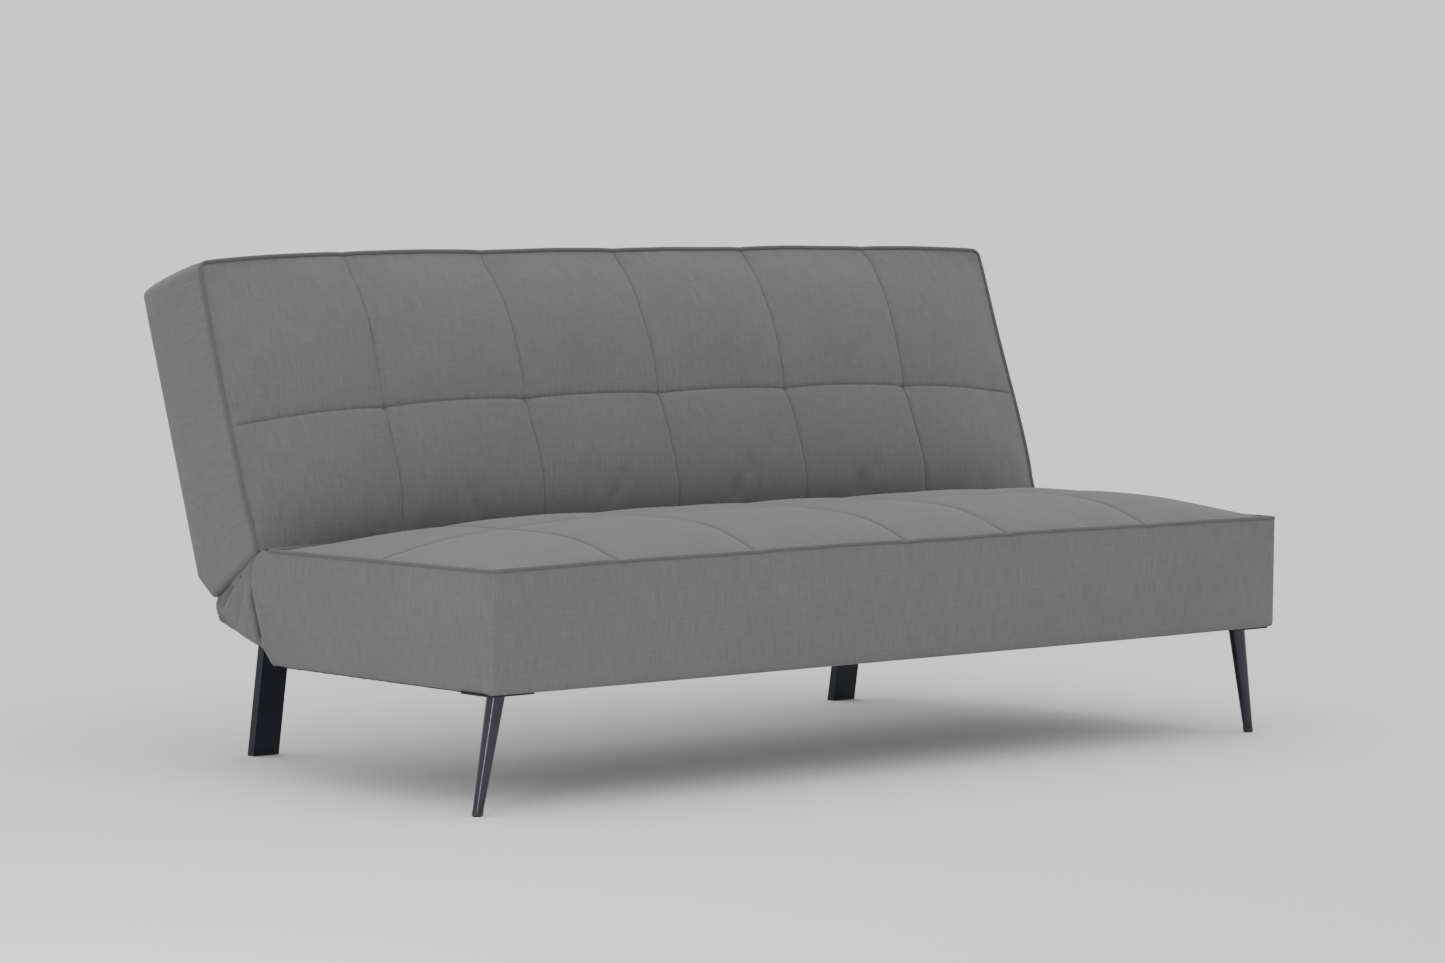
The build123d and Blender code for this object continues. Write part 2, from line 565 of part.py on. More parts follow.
def hinge_cloth():
    """Sleeve of cloth round the hinge line: a crease above, loose folds below, gusseted ends."""
    end_x = BORDER_X - 8
    thick = 2
    seam_y = SEAT_REAR + 0.3
    crease = [(seam_y, 350), (132, 347.5), (135, 342.5), (147, 342.5)]
    folds = [(272, 301), (240, 270), (223, 234), (203, 226), (127, 203.5), (seam_y, 203)]
    whole = polygon_x([*crease, *folds], -end_x, end_x)
    room_folds = [(290, 330), (275, 304), (242, 273), (225, 236.5), (203, 229), (127, 206)]
    seat_side = [(seam_y - 5, 205.5), (seam_y - 5, 348.5)]
    room = [(136.5, 380), *room_folds, *seat_side, (131, 345.9), (133.8, 341), (136.5, 341)]
    return whole - polygon_x(room, -end_x + thick, end_x - thick)


# Write the nodes ------------------------------------------------------------------------------

save(front_rail, "seat_front_rail")
save(rear_rail, "seat_rear_rail")
save(centre_rail, "seat_centre_rail")
save(seat_springs, "seat_springs")
save(seat_clips, "seat_spring_clips")
save(seat_pad, "seat_spring_pad")
save(seat_foam, "seat_foam")
save(seat_cover, "seat_top_cover")
save(seat_border, "seat_border")
save(seat_pipe, "seat_piping")
save(dust_cover, "seat_dust_cover")
save(hinge_cloth(), "hinge_cloth")
save(back_place(back_bottom_rail), "back_bottom_rail")
save(back_place(back_top_rail), "back_top_rail")
save(back_place(back_centre_rail), "back_centre_rail")
save(back_place(back_springs), "back_springs")
save(back_place(back_clips), "back_spring_clips")
save(back_place(back_pad), "back_spring_pad")
save(back_place(back_foam), "back_foam")
save(back_place(back_cover), "back_front_cover")
save(back_place(back_border), "back_border")
save(back_place(back_pipe), "back_piping")
save(back_place(back_lining), "back_lining")
save(back_place(group(tuft_ties)), "tuft_ties")

handed = {
    "seat_end_board": end_board,
    "leg_bearer": bearer,
    "corner_plate": corner_plate,
    "front_leg": front_leg,
    "front_foot": front_foot,
    "rear_arm": rear_arm,
    "rear_leg": rear_leg,
    "rear_foot": rear_foot,
    "seat_hinge_plate": seat_plate,
    "back_hinge_plate": back_plate,
    "pivot_pin": pivot_pin,
    "pawl_pin": pawl_pin,
    "pawl": pawl(),
    "pawl_spring": pawl_spring(),
    "back_end_board": back_place(back_end_board),
}
for name, shape in handed.items():
    save(shape, name + "_right")
    save(mirrored(shape), name + "_left")

grouped = {
    "seat_corner_blocks": [front_block, rear_block],
    "corner_plate_screws": corner_screws,
    "front_leg_bolts": [hanger_bolt],
    "rear_arm_bolts": arm_bolts,
    "seat_hinge_screws": seat_hinge_screws,
    "back_hinge_screws": back_hinge_screws,
}
for name, shapes in grouped.items():
    save(group(shapes + [mirrored(shape) for shape in shapes]), name)
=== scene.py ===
import json
import math

import bmesh
import bpy
import numpy as np
from mathutils import Matrix, Vector


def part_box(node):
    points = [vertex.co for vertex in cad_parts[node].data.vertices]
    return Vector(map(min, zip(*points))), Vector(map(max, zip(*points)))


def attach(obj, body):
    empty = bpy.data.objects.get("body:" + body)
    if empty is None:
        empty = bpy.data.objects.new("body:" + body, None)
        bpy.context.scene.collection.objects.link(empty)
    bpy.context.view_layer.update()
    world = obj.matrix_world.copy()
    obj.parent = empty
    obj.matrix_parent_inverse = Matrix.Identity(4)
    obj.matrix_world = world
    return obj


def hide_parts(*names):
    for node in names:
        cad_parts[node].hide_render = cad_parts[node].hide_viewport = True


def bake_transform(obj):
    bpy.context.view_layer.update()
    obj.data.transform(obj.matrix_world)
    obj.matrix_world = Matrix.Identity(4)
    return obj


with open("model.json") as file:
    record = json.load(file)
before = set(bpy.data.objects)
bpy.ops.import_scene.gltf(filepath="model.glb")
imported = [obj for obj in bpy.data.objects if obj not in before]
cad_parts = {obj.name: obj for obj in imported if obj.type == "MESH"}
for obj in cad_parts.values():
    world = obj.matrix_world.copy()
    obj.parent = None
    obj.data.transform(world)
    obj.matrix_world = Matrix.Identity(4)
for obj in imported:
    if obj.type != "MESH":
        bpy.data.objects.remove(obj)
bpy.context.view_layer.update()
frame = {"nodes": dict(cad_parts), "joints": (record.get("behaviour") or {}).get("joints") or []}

# Click-clack sofa bed. Metres, in the CAD frame: X along the sofa, -Y the front, +Z up.
# The soft pieces are fine grids shaped by formulas. The faces of the two cushions are puffed a
# little more by a cloth simulation between their seams, and then creased along the seams. The
# hard pieces are the CAD nodes with new materials.

# ---------------------------------------------------------------------------------------------
# Places: from the frame where it has them, else as in the CAD or fitted to the photo
# ---------------------------------------------------------------------------------------------

border_low, border_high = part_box("seat_border")
pipe_low, pipe_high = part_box("seat_piping")
HALF_X = border_high.x
SEAT_FRONT = border_low.y
SEAT_REAR = border_high.y
SEAT_BOTTOM = border_low.z
PIPE_R = 0.004                      # the piping in the CAD
CORD_R = 0.0034                     # the sewn cord, a little tighter than that
PIPE_IN = 0.002                     # piping centre inside the border's face
SEAT_RIM = pipe_high.z - PIPE_R     # height of the piping's centre line
SEAT_CORNER = 0.008
SEAT_CROWN = 0.0455
SEAT_MID_Y = (SEAT_FRONT + SEAT_REAR) / 2
SEAT_HALF_Y = (SEAT_REAR - SEAT_FRONT) / 2

fold = next(j for j in frame["joints"] if j["name"] == "back_fold")
PIVOT = Vector(fold["pos_m"])
LEAN = math.radians(18.4)
BACK_LENGTH = 0.456
BACK_THICK = 0.148
BACK_CROWN = 0.048
BACK_TOP_CORNER = 0.013
BACK_LOW_CORNER = 0.007
PIVOT_S = -0.008
PIVOT_N = -0.016
FOOT_Y = PIVOT.y - PIVOT_S * math.sin(LEAN) + PIVOT_N * math.cos(LEAN)
FOOT_Z = PIVOT.z - PIVOT_S * math.cos(LEAN) - PIVOT_N * math.sin(LEAN)

PANEL_X = HALF_X - PIPE_IN - 0.002                      # half width of both cushions' faces
SEAT_LOW, SEAT_HIGH = SEAT_FRONT + PIPE_IN + 0.002, SEAT_REAR - PIPE_IN - 0.002
BACK_LOW, BACK_HIGH = 0.004, BACK_LENGTH - 0.004
OUTWARD = np.array([0, -math.cos(LEAN), math.sin(LEAN)])  # out of the back's front face
UPWARD = np.array([0, math.sin(LEAN), math.cos(LEAN)])    # up the back's front face

SEAT_SEAMS = [-0.590, -0.320, -0.004, 0.217, 0.535]     # cross seams, by X
SEAT_LONG_SEAM = -0.142                                 # lengthwise seam, by Y
BACK_SEAMS = [-0.56, -0.28, 0.0, 0.28, 0.56]            # upright seams, by X
LOWER_SEAM_LEAN = [0.002, 0.007, 0.012, 0.015, 0.014]   # shift of their lower ends
UPPER_SEAM_LEAN = [0.003, 0.000, 0.003, 0.006, 0.010]   # and of their upper ends
BACK_LONG_SEAM = 0.210                                  # level seam, by height up the back
CLOTH_THICK = 0.0012
LINING_THICK = 0.0008
DUST_THICK = 0.0006


def stack(x, y, z):
    """Points from three arrays that broadcast together."""
    return np.stack(np.broadcast_arrays(x, y, z), axis=-1).astype(float)


def back_place(x, s, n):
    """Points of the back: s up its front face, n out of its front face."""
    y = FOOT_Y + s * math.sin(LEAN) - n * math.cos(LEAN)
    z = FOOT_Z + s * math.cos(LEAN) + n * math.sin(LEAN)
    return stack(x, y, z)


def wobble(t, pitch, seed):
    """Smooth repeatable waver between about -1 and 1."""
    a = 2 * math.pi * np.asarray(t, float) / pitch
    slow, quick = np.sin(1.73 * a + 2.1 * seed), np.sin(2.9 * a + 3.7 * seed)
    return (np.sin(a + seed) + 0.6 * slow + 0.4 * quick) / 2


def smooth(t):
    t = np.clip(t, 0, 1)
    return t * t * (3 - 2 * t)


def hat(t, half):
    """1 at t = 0, falling smoothly to 0 at half."""
    return smooth(1 - np.abs(t) / half)


# ---------------------------------------------------------------------------------------------
# Mesh helpers
# ---------------------------------------------------------------------------------------------

def put(name, data):
    """Object with this data, in the scene."""
    obj = bpy.data.objects.new(name, data)
    bpy.context.scene.collection.objects.link(obj)
    return obj


def link(name, points, faces, uvs):
    """Mesh object from points, faces and a cloth coordinate (in metres) for each face corner."""
    mesh = bpy.data.meshes.new(name)
    mesh.from_pydata(points.tolist(), [], faces)
    layer = mesh.uv_layers.new(name="weave")
    layer.data.foreach_set("uv", np.asarray(uvs, np.float32).ravel())
    mesh.update()
    obj = put(name, mesh)
    work = bmesh.new()
    work.from_mesh(mesh)
    bmesh.ops.recalc_face_normals(work, faces=work.faces)
    work.to_mesh(mesh)
    work.free()
    mesh.shade_smooth()
    return obj


def grid(points, u, v, round_u=False, round_v=False):
    """Quads over points[row, column], with cloth coordinates u by column and v by row."""
    rows, cols = points.shape[:2]
    i, j = np.meshgrid(
        np.arange(rows - 1 + round_v), np.arange(cols - 1 + round_u), indexing="ij"
    )
    i, j = i.ravel(), j.ravel()
    i2, j2 = (i + 1) % rows, (j + 1) % cols
    faces = np.stack([i * cols + j, i * cols + j2, i2 * cols + j2, i2 * cols + j], axis=1)
    uvs = np.stack(
        [
            np.stack([u[j], v[i]], axis=1),
            np.stack([u[j + 1], v[i]], axis=1),
            np.stack([u[j + 1], v[i + 1]], axis=1),
            np.stack([u[j], v[i + 1]], axis=1),
        ],
        axis=1,
    )
    return points.reshape(-1, 3), faces.tolist(), uvs.reshape(-1, 2)


def rim_of(rows, cols):
    """Indices round the edge of a grid, in order."""
    low = list(range(cols))
    right = [i * cols + cols - 1 for i in range(1, rows)]
    high = [(rows - 1) * cols + j for j in range(cols - 2, -1, -1)]
    left = [i * cols for i in range(rows - 2, 0, -1)]
    return low + right + high + left


def strip_uvs(count, step, width):
    """Cloth coordinates of a strip of quads, each step long."""
    corners = ((0, 0), (0, width), (1, width), (1, 0))
    return [[(k + a) * step, b] for k in range(count) for a, b in corners]


def turned_over(uvs):
    """Cloth coordinates of the same quads with their corners in the opposite order."""
    return uvs.reshape(-1, 4, 2)[:, ::-1].reshape(-1, 2)


def cushion_piece(name, points, u, v, down, depth):
    """Closed cushion: the grid is its face, and the rest is a shallow tray below it."""
    rows, cols = points.shape[:2]
    flat, faces, uvs = grid(points, u, v)
    rim = rim_of(rows, cols)
    down = np.array(down)
    lower = flat[rim] + down * depth
    first = len(flat)
    count = len(rim)
    centre = first + count
    flat = np.vstack([flat, lower, lower.mean(axis=0)])
    extra = strip_uvs(count, 0.004, depth)
    for k in range(count):
        nxt = (k + 1) % count
        faces.append([rim[k], first + k, first + nxt, rim[nxt]])
    for k in range(count):
        faces.append([first + k, centre, first + (k + 1) % count])
        extra += [[k * 0.004, 0], [k * 0.004, 0.1], [(k + 1) * 0.004, 0]]
    return link(name, flat, faces, np.vstack([uvs, np.array(extra, float)]))


def sheet_piece(name, points, u, v, thickness, out=1):
    """Thin closed sheet: the grid and a second layer behind it, joined round the edge."""
    rows, cols = points.shape[:2]
    du = np.gradient(points, axis=1)
    dv = np.gradient(points, axis=0)
    normal = np.cross(du, dv)
    normal /= np.maximum(np.linalg.norm(normal, axis=2, keepdims=True), 1e-12)
    flat, faces, uvs = grid(points, u, v)
    behind = (points - out * normal * thickness).reshape(-1, 3)
    return closed_pair(name, flat, behind, faces, uvs, rim_of(rows, cols), 0.003, thickness)


def closed_pair(name, flat, behind, faces, uvs, rim, step, width):
    """Two layers with the same faces, joined by a strip round their rims."""
    first = len(flat)
    back_faces = [[first + a for a in reversed(f)] for f in faces]
    edge = [[a, first + a, first + b, b] for a, b in zip(rim, rim[1:] + rim[:1])]
    edge_uvs = np.array(strip_uvs(len(rim), step, width))
    return link(
        name,
        np.vstack([flat, behind]),
        faces + back_faces + edge,
        np.vstack([uvs, turned_over(uvs), edge_uvs]),
    )


def lengths(points, closed=False):
    """Distance along a line of points, from 0; one more value when it is closed."""
    if closed:
        points = np.vstack([points, points[:1]])
    return np.concatenate([[0], np.cumsum(np.linalg.norm(np.diff(points, axis=0), axis=1))])


def outline(half_x, low, high, r_low, r_high, step, start_high):
    """Loop round a rectangle with rounded corners: points, outward directions and length."""
    spans = []
    corners = [
        (half_x - r_low, low + r_low, r_low, -90),
        (half_x - r_high, high - r_high, r_high, 0),
        (-half_x + r_high, high - r_high, r_high, 90),
        (-half_x + r_low, low + r_low, r_low, 180),
    ]
    for k, (cx, cy, r, a0) in enumerate(corners):
        count = max(5, int(r * math.pi / 2 / min(step, 0.0022)))
        a = np.radians(a0 + 90 * np.arange(count + 1) / count)
        out = np.stack([np.cos(a), np.sin(a)], axis=1)
        spans.append((np.array([cx, cy]) + r * out, out))
        nx, ny, nr, na = corners[(k + 1) % 4]
        turn = math.radians(na)
        end = np.array([nx, ny]) + nr * np.array([math.cos(turn), math.sin(turn)])
        begin = spans[-1][0][-1]
        count = max(2, int(np.linalg.norm(end - begin) / step))
        t = (np.arange(1, count) / count)[:, None]
        spans.append((begin + (end - begin) * t, np.repeat(out[-1:], count - 1, axis=0)))
    points = np.vstack([p for p, _ in spans])
    outward = np.vstack([o for _, o in spans])
    target = np.array([0, high if start_high else low])
    first = int(np.argmin(np.linalg.norm(points - target, axis=1)))
    points, outward = np.roll(points, -first, axis=0), np.roll(outward, -first, axis=0)
    return points, outward, lengths(points, closed=True)


def stations(low, high, seams, step, near, edge):
    """Grid lines from low to high: at each seam and near distances beside it, and step apart."""
    fixed = [low, high]
    for e in edge:
        fixed += [low + e, high - e]
    for s in seams:
        fixed += [s] + [s + d for d in near] + [s - d for d in near]
    fixed = sorted(set(round(float(f), 6) for f in fixed))
    lines = [fixed[0]]
    for a, b in zip(fixed, fixed[1:]):
        count = max(1, int(round((b - a) / step)))
        lines += [a + (b - a) * k / count for k in range(1, count + 1)]
    return np.array(lines)


# ---------------------------------------------------------------------------------------------
# Camera
# ---------------------------------------------------------------------------------------------

CAMERA_PLACE = Vector((-5.7035, -6.1255, 1.0229))
CAMERA_AZIMUTH = math.radians(-42.875)
CAMERA_PITCH = math.radians(4.085)
CAMERA_ROLL = math.radians(0.578)
CAMERA_LENS = 132.1


def add_camera():
    data = bpy.data.cameras.new("camera")
    data.lens = CAMERA_LENS
    data.sensor_width = 36
    data.clip_end = 100
    cam = put("camera", data)
    back = Vector((
        math.sin(CAMERA_AZIMUTH) * math.cos(CAMERA_PITCH),
        -math.cos(CAMERA_AZIMUTH) * math.cos(CAMERA_PITCH),
        math.sin(CAMERA_PITCH),
    ))
    right = (-back).cross(Vector((0, 0, 1))).normalized()
    up = right.cross(-back)
    turned_right = right * math.cos(CAMERA_ROLL) + up * math.sin(CAMERA_ROLL)
    turned_up = up * math.cos(CAMERA_ROLL) - right * math.sin(CAMERA_ROLL)
    turn = Matrix((turned_right, turned_up, back)).transposed()
    cam.matrix_world = Matrix.Translation(CAMERA_PLACE) @ turn.to_4x4()
    bpy.context.scene.camera = cam


add_camera()

# ---------------------------------------------------------------------------------------------
# Shapes shared by cushion, piping and border
# ---------------------------------------------------------------------------------------------


def seat_rim(x, y):
    """Height of the seat's piped edge: it swells between the corners and dips at the seams."""
    forward = np.clip((SEAT_REAR - y) / (SEAT_REAR - SEAT_FRONT), 0, 1)
    across = 1 - np.abs(np.clip(x / HALF_X, -1, 1)) ** 4
    rise = -0.0018 + 0.0055 * forward + 0.0035 * forward * across
    rise = rise + 0.0012 * wobble(x + 0.7 * y, 0.47, 1.3) * across
    dips = sum(np.exp(-np.abs(x - s) / 0.022) for s in SEAT_SEAMS)
    return SEAT_RIM + rise - 0.0016 * dips * forward


def back_wave(x, s):
    """Rise of the back's top edge along itself: it dips where each seam pulls on it."""
    dips = sum(np.exp(-np.abs(x - k) / 0.03) for k in BACK_SEAMS)
    inside = 1 - np.abs(np.clip(x / HALF_X, -1, 1)) ** 6
    bow = -0.0050 + (0.0130 - 0.0030 * x / HALF_X) * inside
    wave = bow + 0.0008 * wobble(x, 0.4, 2.2) - 0.0022 * dips
    return wave * np.clip(s / BACK_LENGTH, 0, 1) ** 5


def back_bulge(x, s):
    """Swell of the back's ends along X between its corners, and the flare of the right one."""
    up = np.clip((s - 0.05) / (BACK_LENGTH - 0.05), 0, 1)
    swell = 0.0055 * np.sin(math.pi * up).clip(0) ** 0.4
    flare = 0.010 * smooth((0.34 - s) / 0.26) * (x > 0)
    return np.sign(x) * (swell + flare) * smooth((np.abs(x) - 0.70) / 0.13)


def seat_bulge(x, y):
    """Swell of the seat's right end at the front."""
    return 0.006 * smooth((x - 0.74) / 0.09) * smooth((0.10 - y) / 0.20)


def rear_fuller(x):
    """How much farther back the back's rear stands near its ends."""
    return 0.007 * smooth((np.abs(x) - 0.665) / 0.06)


def drop_of(depth):
    """How far the cover hangs below the back's bottom face, by depth behind its front face."""
    return np.interp(depth, [0, 0.122, 0.146, BACK_THICK], [0, 0.0385, 0.0045, 0.001])


def back_sag(s, depth):
    """Shift of the back's border down its lower edge."""
    return drop_of(depth) * np.clip((0.12 - s) / 0.10, 0, 1) ** 1.5


def flap_reach(z):
    """How far the seat's end cloth runs out behind the seat, by height."""
    heights = [0.176, 0.186, 0.200, 0.222, 0.245, 0.280, 0.310, 0.328, 0.340, 0.348, 0.356]
    reach = [-0.012, -0.004, 0.010, 0.017, 0.025, 0.036, 0.040, 0.036, 0.027, 0.014, 0.004]
    return np.interp(z, heights, reach)


# ---------------------------------------------------------------------------------------------
# Cushion surfaces
# ---------------------------------------------------------------------------------------------

def corner_extent(t, low, high, r_low, r_high, half_x):
    """Half width of a rounded rectangle at each t."""
    d_low = np.clip(low + r_low - t, 0, r_low)
    d_high = np.clip(t - (high - r_high), 0, r_high)
    cut = (r_low - np.sqrt(np.maximum(r_low**2 - d_low**2, 0))) + (
        r_high - np.sqrt(np.maximum(r_high**2 - d_high**2, 0))
    )
    return half_x - cut


def valleys(t_cross, t_long, deep_cross, deep_long, half_cross, half_long):
    """Broad dip of a stuffed panel towards its seams."""
    a = np.clip(1 - t_cross / half_cross, 0, 1) ** 2.3
    b = np.clip(1 - t_long / half_long, 0, 1) ** 2.3
    return deep_cross * a + deep_long * b - 0.8 * min(deep_cross, deep_long) * a * b


def crease(t, along, seed):
    """Narrow stitched groove with puckers beside it, as a depth."""
    groove = 0.0030 * np.exp(-(t / 0.0023))
    pucker = 0.00028 * wobble(along, 0.017, seed) * np.exp(-t / 0.011) * (1 - np.exp(-t / 0.0015))
    return groove + pucker


def nearest(t, seams):
    """Distance to the nearest seam, and which one it is."""
    gaps = np.abs(t[:, None] - np.array(seams)[None, :])
    return gaps.min(axis=1), gaps.argmin(axis=1)


def seat_face(xs, ys):
    """The seat cushion's top as points[row, column], without its narrow creases."""
    half_x, low, high = PANEL_X, SEAT_LOW, SEAT_HIGH
    r = SEAT_CORNER - 0.004
    extent = corner_extent(ys, low, high, r, r, half_x)
    x = xs[None, :] * (extent / half_x)[:, None]
    y = np.repeat(ys[:, None], len(xs), axis=1)
    power = np.where(xs < 0, 5.5, 8.5)
    inside = (1 - np.abs(xs / half_x) ** power)[None, :] * (
        1 - np.abs((ys - SEAT_MID_Y) / SEAT_HALF_Y * 1.008) ** 3.3
    ).clip(0)[:, None]
    _, which = nearest(xs, SEAT_SEAMS)
    t = np.abs(xs - np.array(SEAT_SEAMS)[which])
    drift = 0.0035 * np.stack([wobble(ys, 0.31, 1.7 * k) for k in range(5)], axis=1)
    x = x + drift[:, which] * hat(t, 0.09)[None, :] * smooth(inside / 0.3)
    bow = 0.004 * wobble(xs, 0.55, 0.6)[None, :] * hat(ys - SEAT_LONG_SEAM, 0.12)[:, None]
    y = y + bow
    fade = smooth(inside / 0.35)
    broad = valleys(
        t[None, :], np.abs(ys - SEAT_LONG_SEAM)[:, None], 0.0034, 0.0024, 0.13, 0.12
    )
    z = seat_rim(x, y) + SEAT_CROWN * inside - broad * fade
    return stack(x + seat_bulge(x, y), y, z), inside


def long_seam_shift(xs):
    """The back's level seam droops at both ends and bows up a little between the tufts."""
    ends = -0.017 * (np.abs(xs) / HALF_X) ** 4
    bow = 0.0028 * np.abs(np.sin(math.pi * xs / 0.28))
    return ends + bow


def back_face(xs, ss):
    """The back cushion's face as (x, s, n)[row, column], without its narrow creases."""
    half_x, low, high = PANEL_X, BACK_LOW, BACK_HIGH
    r_low, r_high = BACK_LOW_CORNER - 0.004, BACK_TOP_CORNER - 0.004
    extent = corner_extent(ss, low, high, r_low, r_high, half_x)
    x = xs[None, :] * (extent / half_x)[:, None]
    mid = (low + high) / 2
    sigma = (ss - mid) / (high - mid)
    power = np.where(sigma < 0, 5.2, 3.4)
    inside = (1 - np.abs(xs / half_x) ** 4.5)[None, :] * (1 - np.abs(sigma) ** power)[:, None]
    _, which = nearest(xs, BACK_SEAMS)
    t = np.abs(xs - np.array(BACK_SEAMS)[which])
    below = np.clip((BACK_LONG_SEAM - ss) / 0.17, 0, 1.2)[:, None] ** 1.3
    above = np.clip((ss - BACK_LONG_SEAM) / 0.24, 0, 1)[:, None] ** 0.6
    lean = below * np.array(LOWER_SEAM_LEAN) + above * np.array(UPPER_SEAM_LEAN)
    drift = lean + 0.002 * np.stack([wobble(ss, 0.36, 0.9 + 1.3 * k) for k in range(5)], axis=1)
    x = x + drift[:, which] * hat(t, 0.12)[None, :] * smooth(inside / 0.3)
    upper = (high - ss) / (high - BACK_LONG_SEAM)
    lift = np.where(ss < BACK_LONG_SEAM, ss / BACK_LONG_SEAM, upper).clip(0, 1)
    s = ss[:, None] + long_seam_shift(xs)[None, :] * smooth(lift)[:, None]
    s = s + back_wave(x, s)
    level = np.abs(ss - BACK_LONG_SEAM)
    broad = valleys(t[None, :], level[:, None], 0.0065, 0.0055, 0.135, 0.15)
    r = np.hypot(t[None, :], level[:, None])
    tuft = 0.0040 * np.exp(-r / 0.018)
    fade = smooth(inside / 0.35)
    n = -PIPE_IN + BACK_CROWN * inside - (broad + tuft) * fade
    return x + back_bulge(x, s), s, n, inside


# ---------------------------------------------------------------------------------------------
# Cloth simulation
# ---------------------------------------------------------------------------------------------

SEAT_PRESSURE, SEAT_SLACK = 1.1, 0.0008     # slack: the share by which the cloth grows
BACK_PRESSURE, BACK_SLACK = 1.3, 0.0014
PUFF_FRAMES = 20


def puff(points, held, pressure, slack, cap):
    """Blows up the cloth between the lines that are held, and returns how far it moved."""
    rows, cols = points.shape[:2]
    flat, faces, _ = grid(points, np.zeros(cols + 1), np.zeros(rows + 1))
    mesh = bpy.data.meshes.new("skin")
    mesh.from_pydata(flat.tolist(), [], faces)
    skin = put("skin", mesh)
    group = skin.vertex_groups.new(name="held")
    for weight in np.unique(held):
        if weight > 0:
            group.add(np.flatnonzero(held.ravel() == weight).tolist(), float(weight), "REPLACE")
    cloth = skin.modifiers.new("puff", "CLOTH")
    settings = cloth.settings
    settings.quality = 6
    settings.mass = 0.25
    settings.tension_stiffness = 30
    settings.compression_stiffness = 30
    settings.shear_stiffness = 12
    settings.bending_stiffness = 3
    settings.tension_damping = 15
    settings.compression_damping = 15
    settings.use_pressure = True
    settings.uniform_pressure_force = pressure
    settings.vertex_group_mass = "held"
    settings.shrink_min = -slack
    settings.effector_weights.gravity = 0
    cloth.collision_settings.use_collision = False
    cloth.point_cache.frame_start = 1
    cloth.point_cache.frame_end = PUFF_FRAMES
    scene = bpy.context.scene
    for number in range(1, PUFF_FRAMES + 1):
        scene.frame_set(number)
    shown = skin.evaluated_get(bpy.context.evaluated_depsgraph_get())
    co = np.zeros(len(flat) * 3, np.float32)
    shown.data.vertices.foreach_get("co", co)
    moved = co.reshape(rows, cols, 3).astype(float) - points
    scene.frame_set(1)
    bpy.data.objects.remove(skin)
    size = np.linalg.norm(moved, axis=2, keepdims=True)
    return moved * np.minimum(1, cap / np.maximum(size, 1e-9))


def between(new, old, values, axis):
    """Values at old stations, read at new stations with a smooth cubic, along one axis."""
    values = np.moveaxis(values, axis, 0)
    slope = np.gradient(values, old, axis=0)
    k = np.clip(np.searchsorted(old, new, side="right") - 1, 0, len(old) - 2)
    h = old[k + 1] - old[k]
    t = (new - old[k]) / h
    shape = (-1,) + (1,) * (values.ndim - 1)
    h, t = h.reshape(shape), t.reshape(shape)
    made = (
        (2 * t**3 - 3 * t**2 + 1) * values[k]
        + (t**3 - 2 * t**2 + t) * h * slope[k]
        + (3 * t**2 - 2 * t**3) * values[k + 1]
        + (t**3 - t**2) * h * slope[k + 1]
    )
    return np.moveaxis(made, 0, axis)


def simulated(coarse, coarse_x, coarse_y, fine_x, fine_y, seams_x, seam_y, pressure, slack, cap):
    """The puff of a cushion face, found on the coarse grid and read on the fine one."""
    held = np.zeros(coarse.shape[:2])
    held[[0, -1], :] = 1
    held[:, [0, -1]] = 1
    for s in seams_x:
        held[:, int(np.argmin(np.abs(coarse_x - s)))] = 1
    held[int(np.argmin(np.abs(coarse_y - seam_y))), :] = 1
    moved = puff(coarse, held, pressure, slack, cap)
    return between(fine_x, coarse_x, between(fine_y, coarse_y, moved, 0), 1)


# ---------------------------------------------------------------------------------------------
# Materials
# ---------------------------------------------------------------------------------------------

